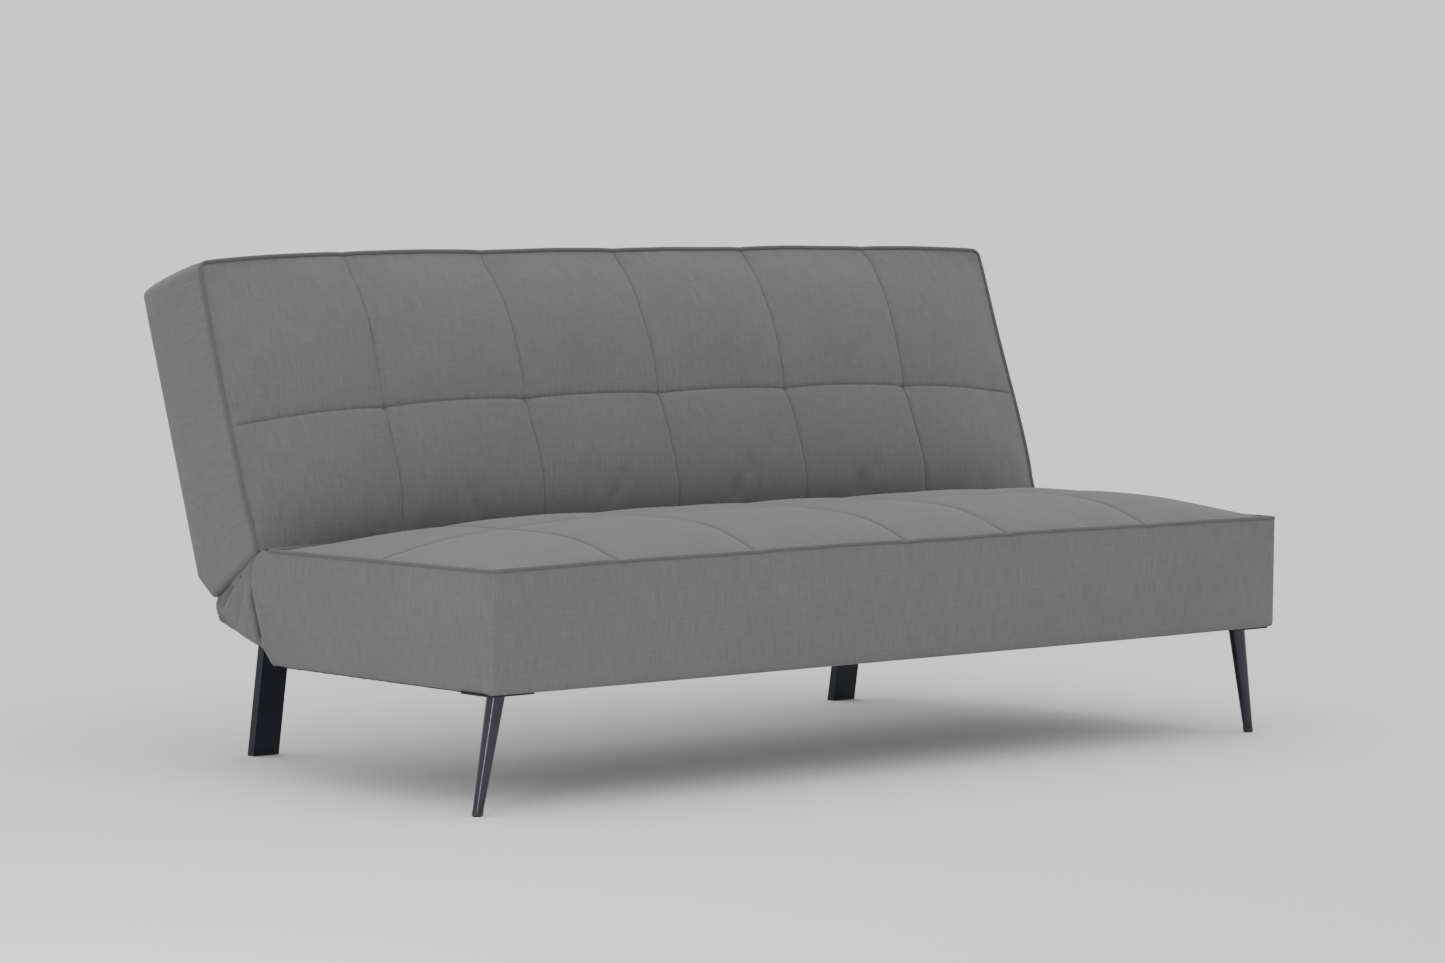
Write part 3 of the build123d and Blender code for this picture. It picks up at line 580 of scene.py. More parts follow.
class Look:
    """One node material, with short calls for the nodes that it uses."""

    def __init__(self, name, color, roughness, metallic=0.0, **sockets):
        self.material = bpy.data.materials.new(name)
        self.material.use_nodes = True
        self.tree = self.material.node_tree
        self.shader = next(n for n in self.tree.nodes if n.type == "BSDF_PRINCIPLED")
        self.shader.inputs["Base Color"].default_value = (*color, 1)
        self.shader.inputs["Roughness"].default_value = roughness
        self.shader.inputs["Metallic"].default_value = metallic
        for socket, value in sockets.items():
            self.shader.inputs[socket.replace("_", " ")].default_value = value
        self.height = None

    def node(self, kind, **values):
        made = self.tree.nodes.new(kind)
        for key, value in values.items():
            setattr(made, key, value)
        return made

    def place(self, scale=(1, 1, 1), woven=False):
        """Coordinates in metres times scale: the cloth's own, or the object's."""
        if woven:
            source = self.node("ShaderNodeUVMap", uv_map="weave").outputs[0]
        else:
            source = self.node("ShaderNodeTexCoord").outputs["Object"]
        mapping = self.node("ShaderNodeMapping")
        mapping.inputs["Scale"].default_value = scale
        self.tree.links.new(source, mapping.inputs[0])
        return mapping.outputs[0]

    def noise(self, where, scale=1.0, detail=2.0, roughness=0.5):
        made = self.node("ShaderNodeTexNoise")
        made.inputs["Scale"].default_value = scale
        made.inputs["Detail"].default_value = detail
        made.inputs["Roughness"].default_value = roughness
        self.tree.links.new(where, made.inputs["Vector"])
        return made.outputs["Fac"]

    def cells(self, where, scale=1.0, feature="F1", output="Distance"):
        made = self.node("ShaderNodeTexVoronoi", feature=feature)
        made.inputs["Scale"].default_value = scale
        self.tree.links.new(where, made.inputs["Vector"])
        return made.outputs[output]

    def math(self, operation, a, b=None):
        made = self.node("ShaderNodeMath", operation=operation)
        for k, value in enumerate((a, b)):
            if value is None:
                continue
            if isinstance(value, (int, float)):
                made.inputs[k].default_value = value
            else:
                self.tree.links.new(value, made.inputs[k])
        return made.outputs[0]

    def times(self, value, *factors):
        for factor in factors:
            value = self.math("MULTIPLY", value, factor)
        return value

    def part(self, where, axis):
        made = self.node("ShaderNodeSeparateXYZ")
        self.tree.links.new(where, made.inputs[0])
        return made.outputs[axis]

    def ramp(self, value, stops):
        made = self.node("ShaderNodeValToRGB")
        while len(made.color_ramp.elements) < len(stops):
            made.color_ramp.elements.new(0.5)
        for element, (at, color) in zip(made.color_ramp.elements, stops):
            element.position = at
            element.color = (*color, 1)
        self.tree.links.new(value, made.inputs[0])
        return made.outputs["Color"]

    def spread(self, value, low, high, to_low, to_high):
        made = self.node("ShaderNodeMapRange")
        for k, number in zip((1, 2, 3, 4), (low, high, to_low, to_high)):
            made.inputs[k].default_value = number
        self.tree.links.new(value, made.inputs[0])
        return made.outputs[0]

    def shade(self, color, factor):
        """A colour times a factor."""
        made = self.node("ShaderNodeVectorMath", operation="SCALE")
        if isinstance(color, tuple):
            made.inputs[0].default_value = color
        else:
            self.tree.links.new(color, made.inputs[0])
        self.tree.links.new(factor, made.inputs["Scale"])
        return made.outputs[0]

    def bump(self, height, distance, strength=1.0):
        made = self.node("ShaderNodeBump")
        made.inputs["Distance"].default_value = distance
        made.inputs["Strength"].default_value = strength
        self.tree.links.new(height, made.inputs["Height"])
        if self.height is not None:
            self.tree.links.new(self.height, made.inputs["Normal"])
        self.height = made.outputs[0]

    def done(self, color=None, roughness=None):
        if color is not None:
            self.tree.links.new(color, self.shader.inputs["Base Color"])
        if roughness is not None:
            self.tree.links.new(roughness, self.shader.inputs["Roughness"])
        if self.height is not None:
            self.tree.links.new(self.height, self.shader.inputs["Normal"])
        return self.material


def plain_weave(look, pitch):
    """Height of crossing threads, one over one under."""
    k = 2 * math.pi / pitch
    where = look.place((k, k, k), woven=True)
    across = look.math("SINE", look.part(where, "X"))
    along = look.math("SINE", look.part(where, "Y"))
    return look.spread(look.times(across, along), -1, 1, 0, 1)


def linen_look(name, color, contrast):
    """Linen-like upholstery: plain weave with painted shade in its hollows, uneven slub threads
    mostly one way, soft nap.
    """
    look = Look(
        name, color, 0.92, Sheen_Weight=0.18, Sheen_Roughness=0.45, Specular_IOR_Level=0.22
    )
    weave = plain_weave(look, 0.0016)
    upright = look.noise(look.place((420, 26, 1), woven=True), detail=3, roughness=0.65)
    level = look.noise(look.place((30, 420, 1), woven=True), detail=2, roughness=0.6)
    patches = look.noise(look.place((7, 5, 1), woven=True), detail=2)
    flecks = look.noise(look.place((900, 900, 1), woven=True), detail=1)
    # The weave factor darkens the cloth where its threads dip: painted shade in the weave's
    # hollows.
    tone = look.times(
        look.spread(upright, 0.3, 0.7, 1 - contrast, 1 + contrast),
        look.spread(level, 0.3, 0.7, 1 - contrast * 0.5, 1 + contrast * 0.5),
        look.spread(patches, 0.3, 0.7, 0.975, 1.025),
        look.spread(flecks, 0.3, 0.7, 0.96, 1.04),
        look.spread(weave, 0, 1, 0.93, 1.05),
    )
    look.bump(weave, 0.00035, 0.5)
    look.bump(upright, 0.0004, 0.4)
    look.bump(level, 0.0003, 0.3)
    return look.done(look.shade(color, tone), look.spread(upright, 0.3, 0.7, 0.86, 0.97))


def lining_look():
    """Thin black nonwoven cloth with its pattern of bonded dots."""
    color = (0.03, 0.03, 0.032)
    look = Look("lining_cloth", color, 0.85, Sheen_Weight=0.1)
    dots = look.cells(look.place((1, 1, 1), woven=True), 420)
    fibres = look.noise(look.place((300, 300, 1), woven=True), detail=4, roughness=0.7)
    tone = look.times(
        look.spread(dots, 0, 0.5, 0.75, 1.1), look.spread(fibres, 0.3, 0.7, 0.8, 1.25)
    )
    look.bump(dots, 0.0003, 0.5)
    look.bump(fibres, 0.0003, 0.5)
    return look.done(look.shade(color, tone), look.spread(fibres, 0.3, 0.7, 0.75, 0.95))


def foam_look():
    """Open-cell foam: pores of two sizes, darker inside as painted shade, yellowed unevenly."""
    look = Look("foam", (0.75, 0.70, 0.52), 0.95)
    where = look.place()
    pores = look.cells(where, 700)
    large = look.cells(where, 190)
    age = look.noise(where, 6, 3)
    # The pores are darkened towards their middles: painted shade in the holes.
    tone = look.times(look.spread(pores, 0, 0.6, 0.72, 1.05), look.spread(large, 0, 0.25, 0.8, 1))
    look.bump(pores, 0.0006, 0.7)
    look.bump(large, 0.0008, 0.4)
    color = look.ramp(age, [(0.3, (0.70, 0.62, 0.40)), (0.7, (0.78, 0.74, 0.58))])
    return look.done(look.shade(color, tone))


def felt_look():
    """Needled felt of mixed recycled fibres."""
    look = Look("felt", (0.32, 0.31, 0.30), 1.0, Sheen_Weight=0.2)
    where = look.place()
    fibres = look.noise(where, 380, 6, 0.75)
    mixed = look.noise(where, 90, 4, 0.7)
    color = look.ramp(mixed, [
        (0.30, (0.20, 0.20, 0.22)),
        (0.5, (0.33, 0.31, 0.30)),
        (0.62, (0.30, 0.22, 0.20)),
        (0.75, (0.45, 0.44, 0.42)),
    ])
    look.bump(fibres, 0.0010, 0.8)
    return look.done(look.shade(color, look.spread(fibres, 0.3, 0.7, 0.75, 1.2)))


def pine_look():
    """Sawn pine: long grain in the board's length, knots and saw marks."""
    look = Look("pine_board", (0.62, 0.44, 0.26), 0.65)
    grain = look.noise(look.place((3.0, 60, 60)), 1.6, 6, 0.6)
    rings = look.math("SINE", look.times(look.noise(look.place((1.2, 9, 9)), 1.0, 2), 70))
    knots = look.cells(look.place((4, 9, 9)), 1)
    saw = look.noise(look.place((420, 20, 20)), 1, 2)
    board = look.ramp(grain, [
        (0.3, (0.46, 0.28, 0.13)), (0.55, (0.64, 0.45, 0.26)), (0.75, (0.73, 0.56, 0.36))
    ])
    tone = look.times(look.spread(rings, -1, 1, 0.82, 1.05), look.spread(knots, 0, 0.12, 0.55, 1))
    look.bump(grain, 0.0006, 0.5)
    look.bump(saw, 0.0004, 0.35)
    return look.done(look.shade(board, tone), look.spread(grain, 0.3, 0.7, 0.55, 0.8))


def metal_look(name, color, roughness, spots, brushed=False):
    """Metal with a mottled finish and fine scratches: along Z if brushed, else along X."""
    look = Look(name, color, roughness, 1.0)
    where = look.place()
    mottle = look.noise(where, spots, 4, 0.6)
    scratch = look.noise(look.place((900, 900, 40) if brushed else (60, 700, 700)), 1, 3, 0.6)
    rough = look.spread(mottle, 0.3, 0.7, roughness * 0.75, roughness * 1.3)
    rough = look.math("ADD", rough, look.spread(scratch, 0.35, 0.65, -0.03, 0.05))
    look.bump(scratch, 0.00004, 0.4)
    return look.done(look.shade(color, look.spread(mottle, 0.3, 0.7, 0.85, 1.12)), rough)


def powder_look():
    """Powder coat: orange-peel skin, near black with a blue cast, worn brighter in places."""
    color = (0.0045, 0.0062, 0.0145)
    look = Look("powder_coated_steel", color, 0.42, Specular_IOR_Level=0.3)
    where = look.place()
    peel = look.noise(where, 650, 2, 0.5)
    dust = look.noise(where, 30, 4, 0.7)
    look.bump(peel, 0.00025, 0.35)
    tone = look.spread(dust, 0.35, 0.7, 0.85, 1.5)
    return look.done(look.shade(color, tone), look.spread(dust, 0.3, 0.7, 0.34, 0.52))


def plastic_look():
    """Moulded black plastic with a fine spark-eroded grain."""
    color = (0.012, 0.012, 0.013)
    look = Look("black_plastic", color, 0.5)
    where = look.place()
    grain = look.noise(where, 1400, 2, 0.6)
    scuffs = look.noise(where, 60, 5, 0.7)
    look.bump(grain, 0.00008, 0.6)
    tone = look.spread(scuffs, 0.4, 0.75, 0.9, 1.9)
    return look.done(look.shade(color, tone), look.spread(scuffs, 0.3, 0.7, 0.42, 0.62))


def twine_look():
    """Twisted thread: a helical groove round the line, darkened as painted shade, and loose
    fibres.
    """
    color = (0.15, 0.15, 0.15)
    look = Look("tuft_twine", color, 0.85, Sheen_Weight=0.3)
    where = look.place()
    slant = look.math("ADD", look.part(where, "X"), look.part(where, "Y"))
    slant = look.math("ADD", slant, look.part(where, "Z"))
    ply = look.math("SINE", look.times(slant, 5200))
    fibres = look.noise(where, 900, 4, 0.7)
    look.bump(ply, 0.0002, 0.6)
    # Darker in the groove between the plies: painted shade.
    tone = look.times(
        look.spread(ply, -1, 1, 0.75, 1.1), look.spread(fibres, 0.3, 0.7, 0.85, 1.15)
    )
    return look.done(look.shade(color, tone))


COVER = (0.123, 0.123, 0.124)
looks = {
    "cover_fabric": linen_look("cover_fabric", COVER, 0.12),
    "lining_cloth": lining_look(),
    "foam": foam_look(),
    "felt": felt_look(),
    "pine_board": pine_look(),
    "spring_wire": metal_look("spring_wire", (0.30, 0.30, 0.31), 0.42, 80),
    "zinc_plated_steel": metal_look("zinc_plated_steel", (0.55, 0.55, 0.53), 0.36, 140),
    "dark_polished_steel": metal_look(
        "dark_polished_steel", (0.055, 0.053, 0.070), 0.17, 25, brushed=True
    ),
    "powder_coated_steel": powder_look(),
    "black_plastic": plastic_look(),
    "tuft_twine": twine_look(),
}
# The piping cord is the cover's own cloth; it is coloured darker as painted shade, for the dark
# line along each piped seam.
painted_shade_piping_look = linen_look("piping_cloth_painted_shade", tuple(c * 0.74 for c in COVER), 0.08)

for node in frame["nodes"].values():
    for material_slot in node.material_slots:
        base = material_slot.material.name.split(".")[0]
        if base in looks:
            material_slot.material = looks[base]

# ---------------------------------------------------------------------------------------------
# Finishing a piece
# ---------------------------------------------------------------------------------------------


def finish_piece(obj, slot, body, nodes, look=None):
    """Look, body and replaced nodes of a piece: the look is the slot's unless another is given,
    and a piece without a body gets no parent.
    """
    obj.data.materials.append(look or looks[slot])
    if body:
        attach(obj, body)
    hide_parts(*nodes)


# ---------------------------------------------------------------------------------------------
# Seat
# ---------------------------------------------------------------------------------------------

NEAR = [0.0008, 0.0018, 0.0032, 0.0052, 0.0080, 0.0120]     # grid lines beside a seam
EDGE = [0.0007, 0.0025, 0.0055, 0.0095, 0.0140, 0.0190]     # and inside a cushion's rim
STEP = 0.0048                                               # and between them


def build_seat_cushion():
    half_x, low, high = PANEL_X, SEAT_LOW, SEAT_HIGH
    xs = stations(-half_x, half_x, SEAT_SEAMS, STEP, NEAR, EDGE)
    ys = stations(low, high, [SEAT_LONG_SEAM], STEP, NEAR, EDGE)
    points, inside = seat_face(xs, ys)
    cx = stations(-half_x, half_x, SEAT_SEAMS, 0.013, [0.006], [0.004])
    cy = stations(low, high, [SEAT_LONG_SEAM], 0.013, [0.006], [0.004])
    coarse, _ = seat_face(cx, cy)
    points = points + simulated(
        coarse, cx, cy, xs, ys, SEAT_SEAMS, SEAT_LONG_SEAM, SEAT_PRESSURE, SEAT_SLACK, 0.010
    )
    tx, which = nearest(xs, SEAT_SEAMS)
    ty = np.abs(ys - SEAT_LONG_SEAM)
    depth = np.maximum(
        crease(tx[None, :], ys[:, None] + 0.1 * which[None, :], 0.4),
        crease(ty[:, None], xs[None, :], 1.9),
    )
    points[:, :, 2] -= depth * smooth(inside / 0.10)
    obj = cushion_piece("seat_cushion", points, xs, ys, (0, 0, -1), 0.010)
    finish_piece(obj, "cover_fabric", "seat_section", ["seat_top_cover"])

    core_x = stations(-half_x + 0.004, half_x - 0.004, [], 0.02, [], [0.004, 0.01])
    core_y = stations(low + 0.004, high - 0.004, [], 0.02, [], [0.004, 0.01])
    core, _ = seat_face(core_x, core_y)
    core[:, :, 2] -= 0.009
    foam_low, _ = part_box("seat_foam")
    base = core.copy()
    base[:, :, 2] = foam_low.z
    core_piece = cushion_between("seat_foam_core", core, base, core_x, core_y)
    finish_piece(core_piece, "foam", "seat_section", ["seat_foam"])


def cushion_between(name, top, base, u, v):
    """Closed block between two grids with the same rows and columns."""
    rows, cols = top.shape[:2]
    flat, faces, uvs = grid(top, u, v)
    rim = rim_of(rows, cols)
    return closed_pair(name, flat, base.reshape(-1, 3), faces, uvs, rim, 0.02, 0.1)


def sweep_piece(name, out_shift, levels, loop, place):
    """Closed ring of cloth: a profile swept round a loop, with the cloth's length as its u."""
    points, outward, along = loop
    x = points[None, :, 0] + outward[None, :, 0] * out_shift
    y = points[None, :, 1] + outward[None, :, 1] * out_shift
    made = place(x, y, levels)
    rows = lengths(made[:, 0])
    rows = np.append(rows, rows[-1] + 0.002)
    flat, faces, uvs = grid(made, along, rows, round_u=True, round_v=True)
    return link(name, flat, faces, uvs)


def tube_piece(name, loop, level_of, place, radius, sides=12):
    """Piping cord round a loop."""
    points, outward, along = loop
    a = 2 * math.pi * np.arange(sides) / sides
    gather = 1 + 0.025 * wobble(along[:-1], 0.011, 0.5)
    r = radius * gather
    x = points[None, :, 0] + outward[None, :, 0] * np.cos(a)[:, None] * r
    y = points[None, :, 1] + outward[None, :, 1] * np.cos(a)[:, None] * r
    level = level_of(points[:, 0], points[:, 1])[None, :] + np.sin(a)[:, None] * r
    made = place(x, y, level)
    around = radius * 2 * math.pi * np.arange(sides + 1) / sides
    flat, faces, uvs = grid(made, along, around, round_u=True, round_v=True)
    return link(name, flat, faces, uvs)


def seat_flap(x, y, z):
    """Carries the seat's end cloth out past its rear corner to the gusset's seam."""
    outer = smooth((np.abs(x) - 0.824) / 0.009)
    lead = smooth((y - 0.03) / (SEAT_REAR - 0.03))
    slant = np.where(y > 0, flap_reach(z), 0)
    return stack(x + seat_bulge(x, y), y + slant * lead * outer, z)


def build_seat_border():
    loop = outline(HALF_X, SEAT_FRONT, SEAT_REAR, SEAT_CORNER, 0.006, 0.0045, True)
    px, py = loop[0][:, 0], loop[0][:, 1]
    front = smooth((-0.38 - py) / 0.02)
    rear = smooth((py - 0.108) / 0.004)
    ends = smooth((np.abs(px) - 0.83) / 0.006) * (1 - front)
    top = seat_rim(px, py) - 0.0005
    t = np.linspace(0, 1, 30)[:, None]
    z = top[None, :] * (1 - t) + (SEAT_BOTTOM + 0.006) * t
    belly = np.sin(math.pi * t) ** 0.8
    across = 1 - np.abs(px / HALF_X) ** 5
    out = belly * (0.0045 * front * across + 0.0030 * ends)[None, :]
    out = out + t * (0.0100 * front * across)[None, :] - t * (0.0045 * ends)[None, :]
    along = loop[2][:-1]
    pull = 0.00055 * wobble(along, 0.026, 0.8)[None, :] * np.exp(-t * 6) * (t > 0)
    rumple = 0.0009 * wobble(along[None, :] + 0.35 * z, 0.33, 1.1)
    rumple = rumple * wobble(z + 0.2 * along[None, :], 0.21, 2.4)
    out = out + (pull + rumple * belly) * (1 - rear)[None, :]
    out = out * (1 - rear)[None, :]
    # the hem turns in under the frame, and the cloth's inner side goes back up: (inwards, height)
    hem = [(0.0012, 0.0022), (0.0035, 0.0004), (0.0080, 0.0), (0.030, 0.0)]
    turn = [(0.030, 0.0018), (0.0080, 0.0018), (0.0045, 0.0035), (0.0030, 0.010)]
    turn += [(0.0028, 0.060), (0.0028, 0.12)]
    lower_out = np.array([[-d] for d, _ in hem + turn]) + out[-1:]
    lower_z = np.array([[SEAT_BOTTOM + h] for _, h in hem + turn]) + 0 * px[None, :]
    last_out = np.full((1, len(px)), -0.0028)
    shift = np.vstack([out, lower_out[:-2], lower_out[-2:] - out[-1:], last_out])
    levels = np.vstack([z, lower_z, top[None, :] - 0.001])
    obj = sweep_piece("seat_border_cloth", shift, levels, loop, seat_flap)
    finish_piece(obj, "cover_fabric", "seat_section", ["seat_border"])


def build_seat_piping():
    corner = SEAT_CORNER - PIPE_IN
    loop = outline(
        HALF_X - PIPE_IN, SEAT_FRONT + PIPE_IN, SEAT_REAR - PIPE_IN, corner, corner, 0.004, True
    )
    obj = tube_piece(
        "seat_piping_cord",
        loop,
        seat_rim,
        lambda x, y, z: stack(x + seat_bulge(x, y), y, z),
        CORD_R,
    )
    # The cord takes the darker look: painted shade along the seam.
    finish_piece(obj, "cover_fabric", "seat_section", ["seat_piping"], painted_shade_piping_look)


# ---------------------------------------------------------------------------------------------
# Back
# ---------------------------------------------------------------------------------------------

def build_back_cushion():
    half_x, low, high = PANEL_X, BACK_LOW, BACK_HIGH
    top_edge = EDGE + [0.0250, 0.0310]
    xs = stations(-half_x, half_x, BACK_SEAMS, STEP, NEAR, EDGE)
    ss = stations(low, high, [BACK_LONG_SEAM], STEP, NEAR, top_edge)
    x, s, n, inside = back_face(xs, ss)
    points = back_place(x, s, n)
    cx = stations(-half_x, half_x, BACK_SEAMS, 0.012, [0.006], [0.004])
    cs = stations(low, high, [BACK_LONG_SEAM], 0.012, [0.006], [0.004])
    coarse = back_place(*back_face(cx, cs)[:3])
    points = points + simulated(
        coarse, cx, cs, xs, ss, BACK_SEAMS, BACK_LONG_SEAM, BACK_PRESSURE, BACK_SLACK, 0.014
    )
    tx, which = nearest(xs, BACK_SEAMS)
    ty = np.abs(ss - BACK_LONG_SEAM)
    depth = np.maximum(
        crease(tx[None, :], ss[:, None] + 0.1 * which[None, :], 1.4),
        crease(ty[:, None], xs[None, :], 0.7),
    )
    r = np.hypot(tx[None, :], ty[:, None])
    side = np.arctan2(ty[:, None] * np.sign(ss - BACK_LONG_SEAM)[:, None], tx[None, :])
    rays = 0.0011 * np.cos(9 * side + 0.8 * which[None, :]) * (r / 0.012) * np.exp(-r / 0.012)
    pit = 0.0040 * np.exp(-(r / 0.0045) ** 2)
    drop = (depth * smooth(inside / 0.10) + rays + pit)[:, :, None]
    points = points - drop * OUTWARD
    obj = cushion_piece("back_cushion", points, xs, ss, -OUTWARD, 0.010)
    finish_piece(obj, "cover_fabric", "backrest", ["back_front_cover"])

    core_x = stations(-half_x + 0.004, half_x - 0.004, BACK_SEAMS, 0.02, [0.008], [0.004, 0.01])
    core_s = stations(low + 0.004, high - 0.004, [BACK_LONG_SEAM], 0.02, [0.008], [0.004, 0.01])
    x, s, n, _ = back_face(core_x, core_s)
    lid = back_place(x, s, n - 0.011)
    base = back_place(x, s, np.full_like(n, -0.078))
    core = cushion_between("back_foam_core", lid, base, core_x, core_s)
    finish_piece(core, "foam", "backrest", ["back_foam"])


def back_border_place(x, s, n):
    """Points of the back's border, which loses the front's swell and gains the rear's."""
    depth = np.clip(-n / BACK_THICK, 0, 1)
    fuller = rear_fuller(x) * depth
    x = x + back_bulge(x, s) * (1 - depth)
    s = s + back_wave(x, s) - back_sag(s, -n)
    return back_place(x, s, n - fuller)


def build_back_border():
    loop = outline(HALF_X, 0.0, BACK_LENGTH, BACK_LOW_CORNER, BACK_TOP_CORNER, 0.0045, False)
    px, ps = loop[0][:, 0], loop[0][:, 1]
    along = loop[2][:-1]
    t = np.linspace(0, 1, 26)[:, None]
    n = -0.0025 - (BACK_THICK - 0.006) * t
    ends = smooth((np.abs(px) - 0.80) / 0.03)
    upper = smooth((ps - 0.40) / 0.03)
    belly = np.sin(math.pi * t) ** 0.8
    out = belly * (0.0022 * ends + 0.0030 * upper)[None, :]
    rumple = 0.0011 * wobble(along[None, :] + 0.5 * n, 0.27, 0.4)
    rumple = rumple * wobble(n - 0.3 * along[None, :], 0.16, 1.9)
    pull = 0.0005 * wobble(along, 0.028, 1.8)[None, :] * np.exp(-t * 7) * (t > 0)
    tight = 0.0006 * wobble(along, 0.04, 2.8)[None, :] * np.exp(-(1 - t) * 6) * (t < 1)
    out = out + rumple * belly + pull + tight
    hem = [(0.0012, 0.0018), (0.0035, 0.0002), (0.0080, 0.0), (0.026, 0.0)]
    turn = [(0.026, 0.0016), (0.0080, 0.0016), (0.0045, 0.0035), (0.0030, 0.010)]
    turn += [(0.0028, 0.060), (0.0028, 0.10)]
    lower_out = np.array([[-d] for d, _ in hem + turn]) + 0 * px[None, :]
    lower_n = np.array([[-BACK_THICK + h] for _, h in hem + turn]) + 0 * px[None, :]
    shift = np.vstack([out, lower_out, np.full((1, len(px)), -0.0028)])
    levels = np.vstack([n + 0 * px[None, :], lower_n, np.full((1, len(px)), -0.0035)])
    obj = sweep_piece("back_border_cloth", shift, levels, loop, back_border_place)
    finish_piece(obj, "cover_fabric", "backrest", ["back_border"])


def build_back_piping():
    r_low, r_high = BACK_LOW_CORNER - PIPE_IN, BACK_TOP_CORNER - PIPE_IN
    loop = outline(
        HALF_X - PIPE_IN, PIPE_IN, BACK_LENGTH - PIPE_IN, r_low, r_high, 0.004, False
    )
    obj = tube_piece(
        "back_piping_cord",
        loop,
        lambda x, s: np.full(len(x), -PIPE_IN),
        lambda x, s, n: back_place(x + back_bulge(x, s), s + back_wave(x, s), n),
        CORD_R,
    )
    # The cord takes the darker look: painted shade along the seam.
    finish_piece(obj, "cover_fabric", "backrest", ["back_piping"], painted_shade_piping_look)


def build_back_lining():
    """Cloth over the rear of the back, turned in and stapled, a little slack between staples."""
    half_x, low, high = HALF_X - 0.007, 0.006, BACK_LENGTH - 0.007
    xs = stations(-half_x, half_x, [], 0.0075, [], [0.002, 0.005])
    ss = stations(low, high, [], 0.0075, [], [0.002, 0.005])
    x, s = np.meshgrid(xs, ss)
    edge = np.minimum(np.minimum(half_x - np.abs(x), s - low), high - s)
    sag = 0.0028 * smooth(edge / 0.09) * (1 + 0.35 * wobble(x, 0.42, 0.3) * wobble(s, 0.3, 1.2))
    top_pull = 0.0008 * wobble(x, 0.055, 2.0) * np.exp(-np.minimum(high - s, s - low) / 0.03)
    side_pull = 0.0008 * wobble(s, 0.055, 0.2) * np.exp(-(half_x - np.abs(x)) / 0.03)
    hem = 0.0008 * (edge < 0.012)
    n = -BACK_THICK - 0.0006 + sag * 0.6 - rear_fuller(x)
    n = n - np.abs(top_pull) - np.abs(side_pull) - hem
    points = back_place(x, s + back_wave(x, s), n)
    obj = sheet_piece("back_lining_cloth", points, xs, ss, LINING_THICK)
    finish_piece(obj, "lining_cloth", "backrest", ["back_lining"])


def build_dust_cover():
    """Black cloth stapled under the seat frame, sagging slightly in each bay."""
    half_x = HALF_X - 0.016
    low, high = SEAT_FRONT + 0.016, SEAT_REAR - 0.016
    xs = stations(-half_x, half_x, [], 0.009, [], [0.002, 0.006])
    ys = stations(low, high, [], 0.009, [], [0.002, 0.006])
    x, y = np.meshgrid(xs, ys)
    edge = np.minimum(half_x - np.abs(x), np.minimum(y - low, high - y))
    bay = np.minimum(edge, np.abs(x))
    sag = 0.0035 * smooth(bay / 0.12) * (1 + 0.3 * wobble(x, 0.36, 0.9) * wobble(y, 0.25, 0.1))
    pull = 0.0007 * wobble(x + y, 0.06, 0.5) * np.exp(-edge / 0.03)
    hem = 0.0009 * (edge < 0.012)
    z = SEAT_BOTTOM - 0.0012 - sag - np.abs(pull) - hem
    obj = sheet_piece("seat_dust_cloth", stack(x, y, z), xs, ys, DUST_THICK, out=-1)
    finish_piece(obj, "lining_cloth", "seat_section", ["seat_dust_cover"])


# ---------------------------------------------------------------------------------------------
# Gussets, under-sheet and crease between seat and back
# ---------------------------------------------------------------------------------------------

# These lines are (y, z) points across the wedge.
LOWER_EDGE = [                                  # of the gussets, from the back to the seat
    (0.2405, 0.2710), (0.2430, 0.2620), (0.2410, 0.2520), (0.2330, 0.2410),
    (0.2240, 0.2345), (0.2040, 0.2275), (0.1660, 0.2150), (0.1250, 0.2005),
]


def along_line(points, t):
    """Places at shares t of a line's length."""
    points = np.array(points, float)
    at = lengths(points)
    return np.stack([np.interp(t * at[-1], at, points[:, k]) for k in range(2)], axis=1)


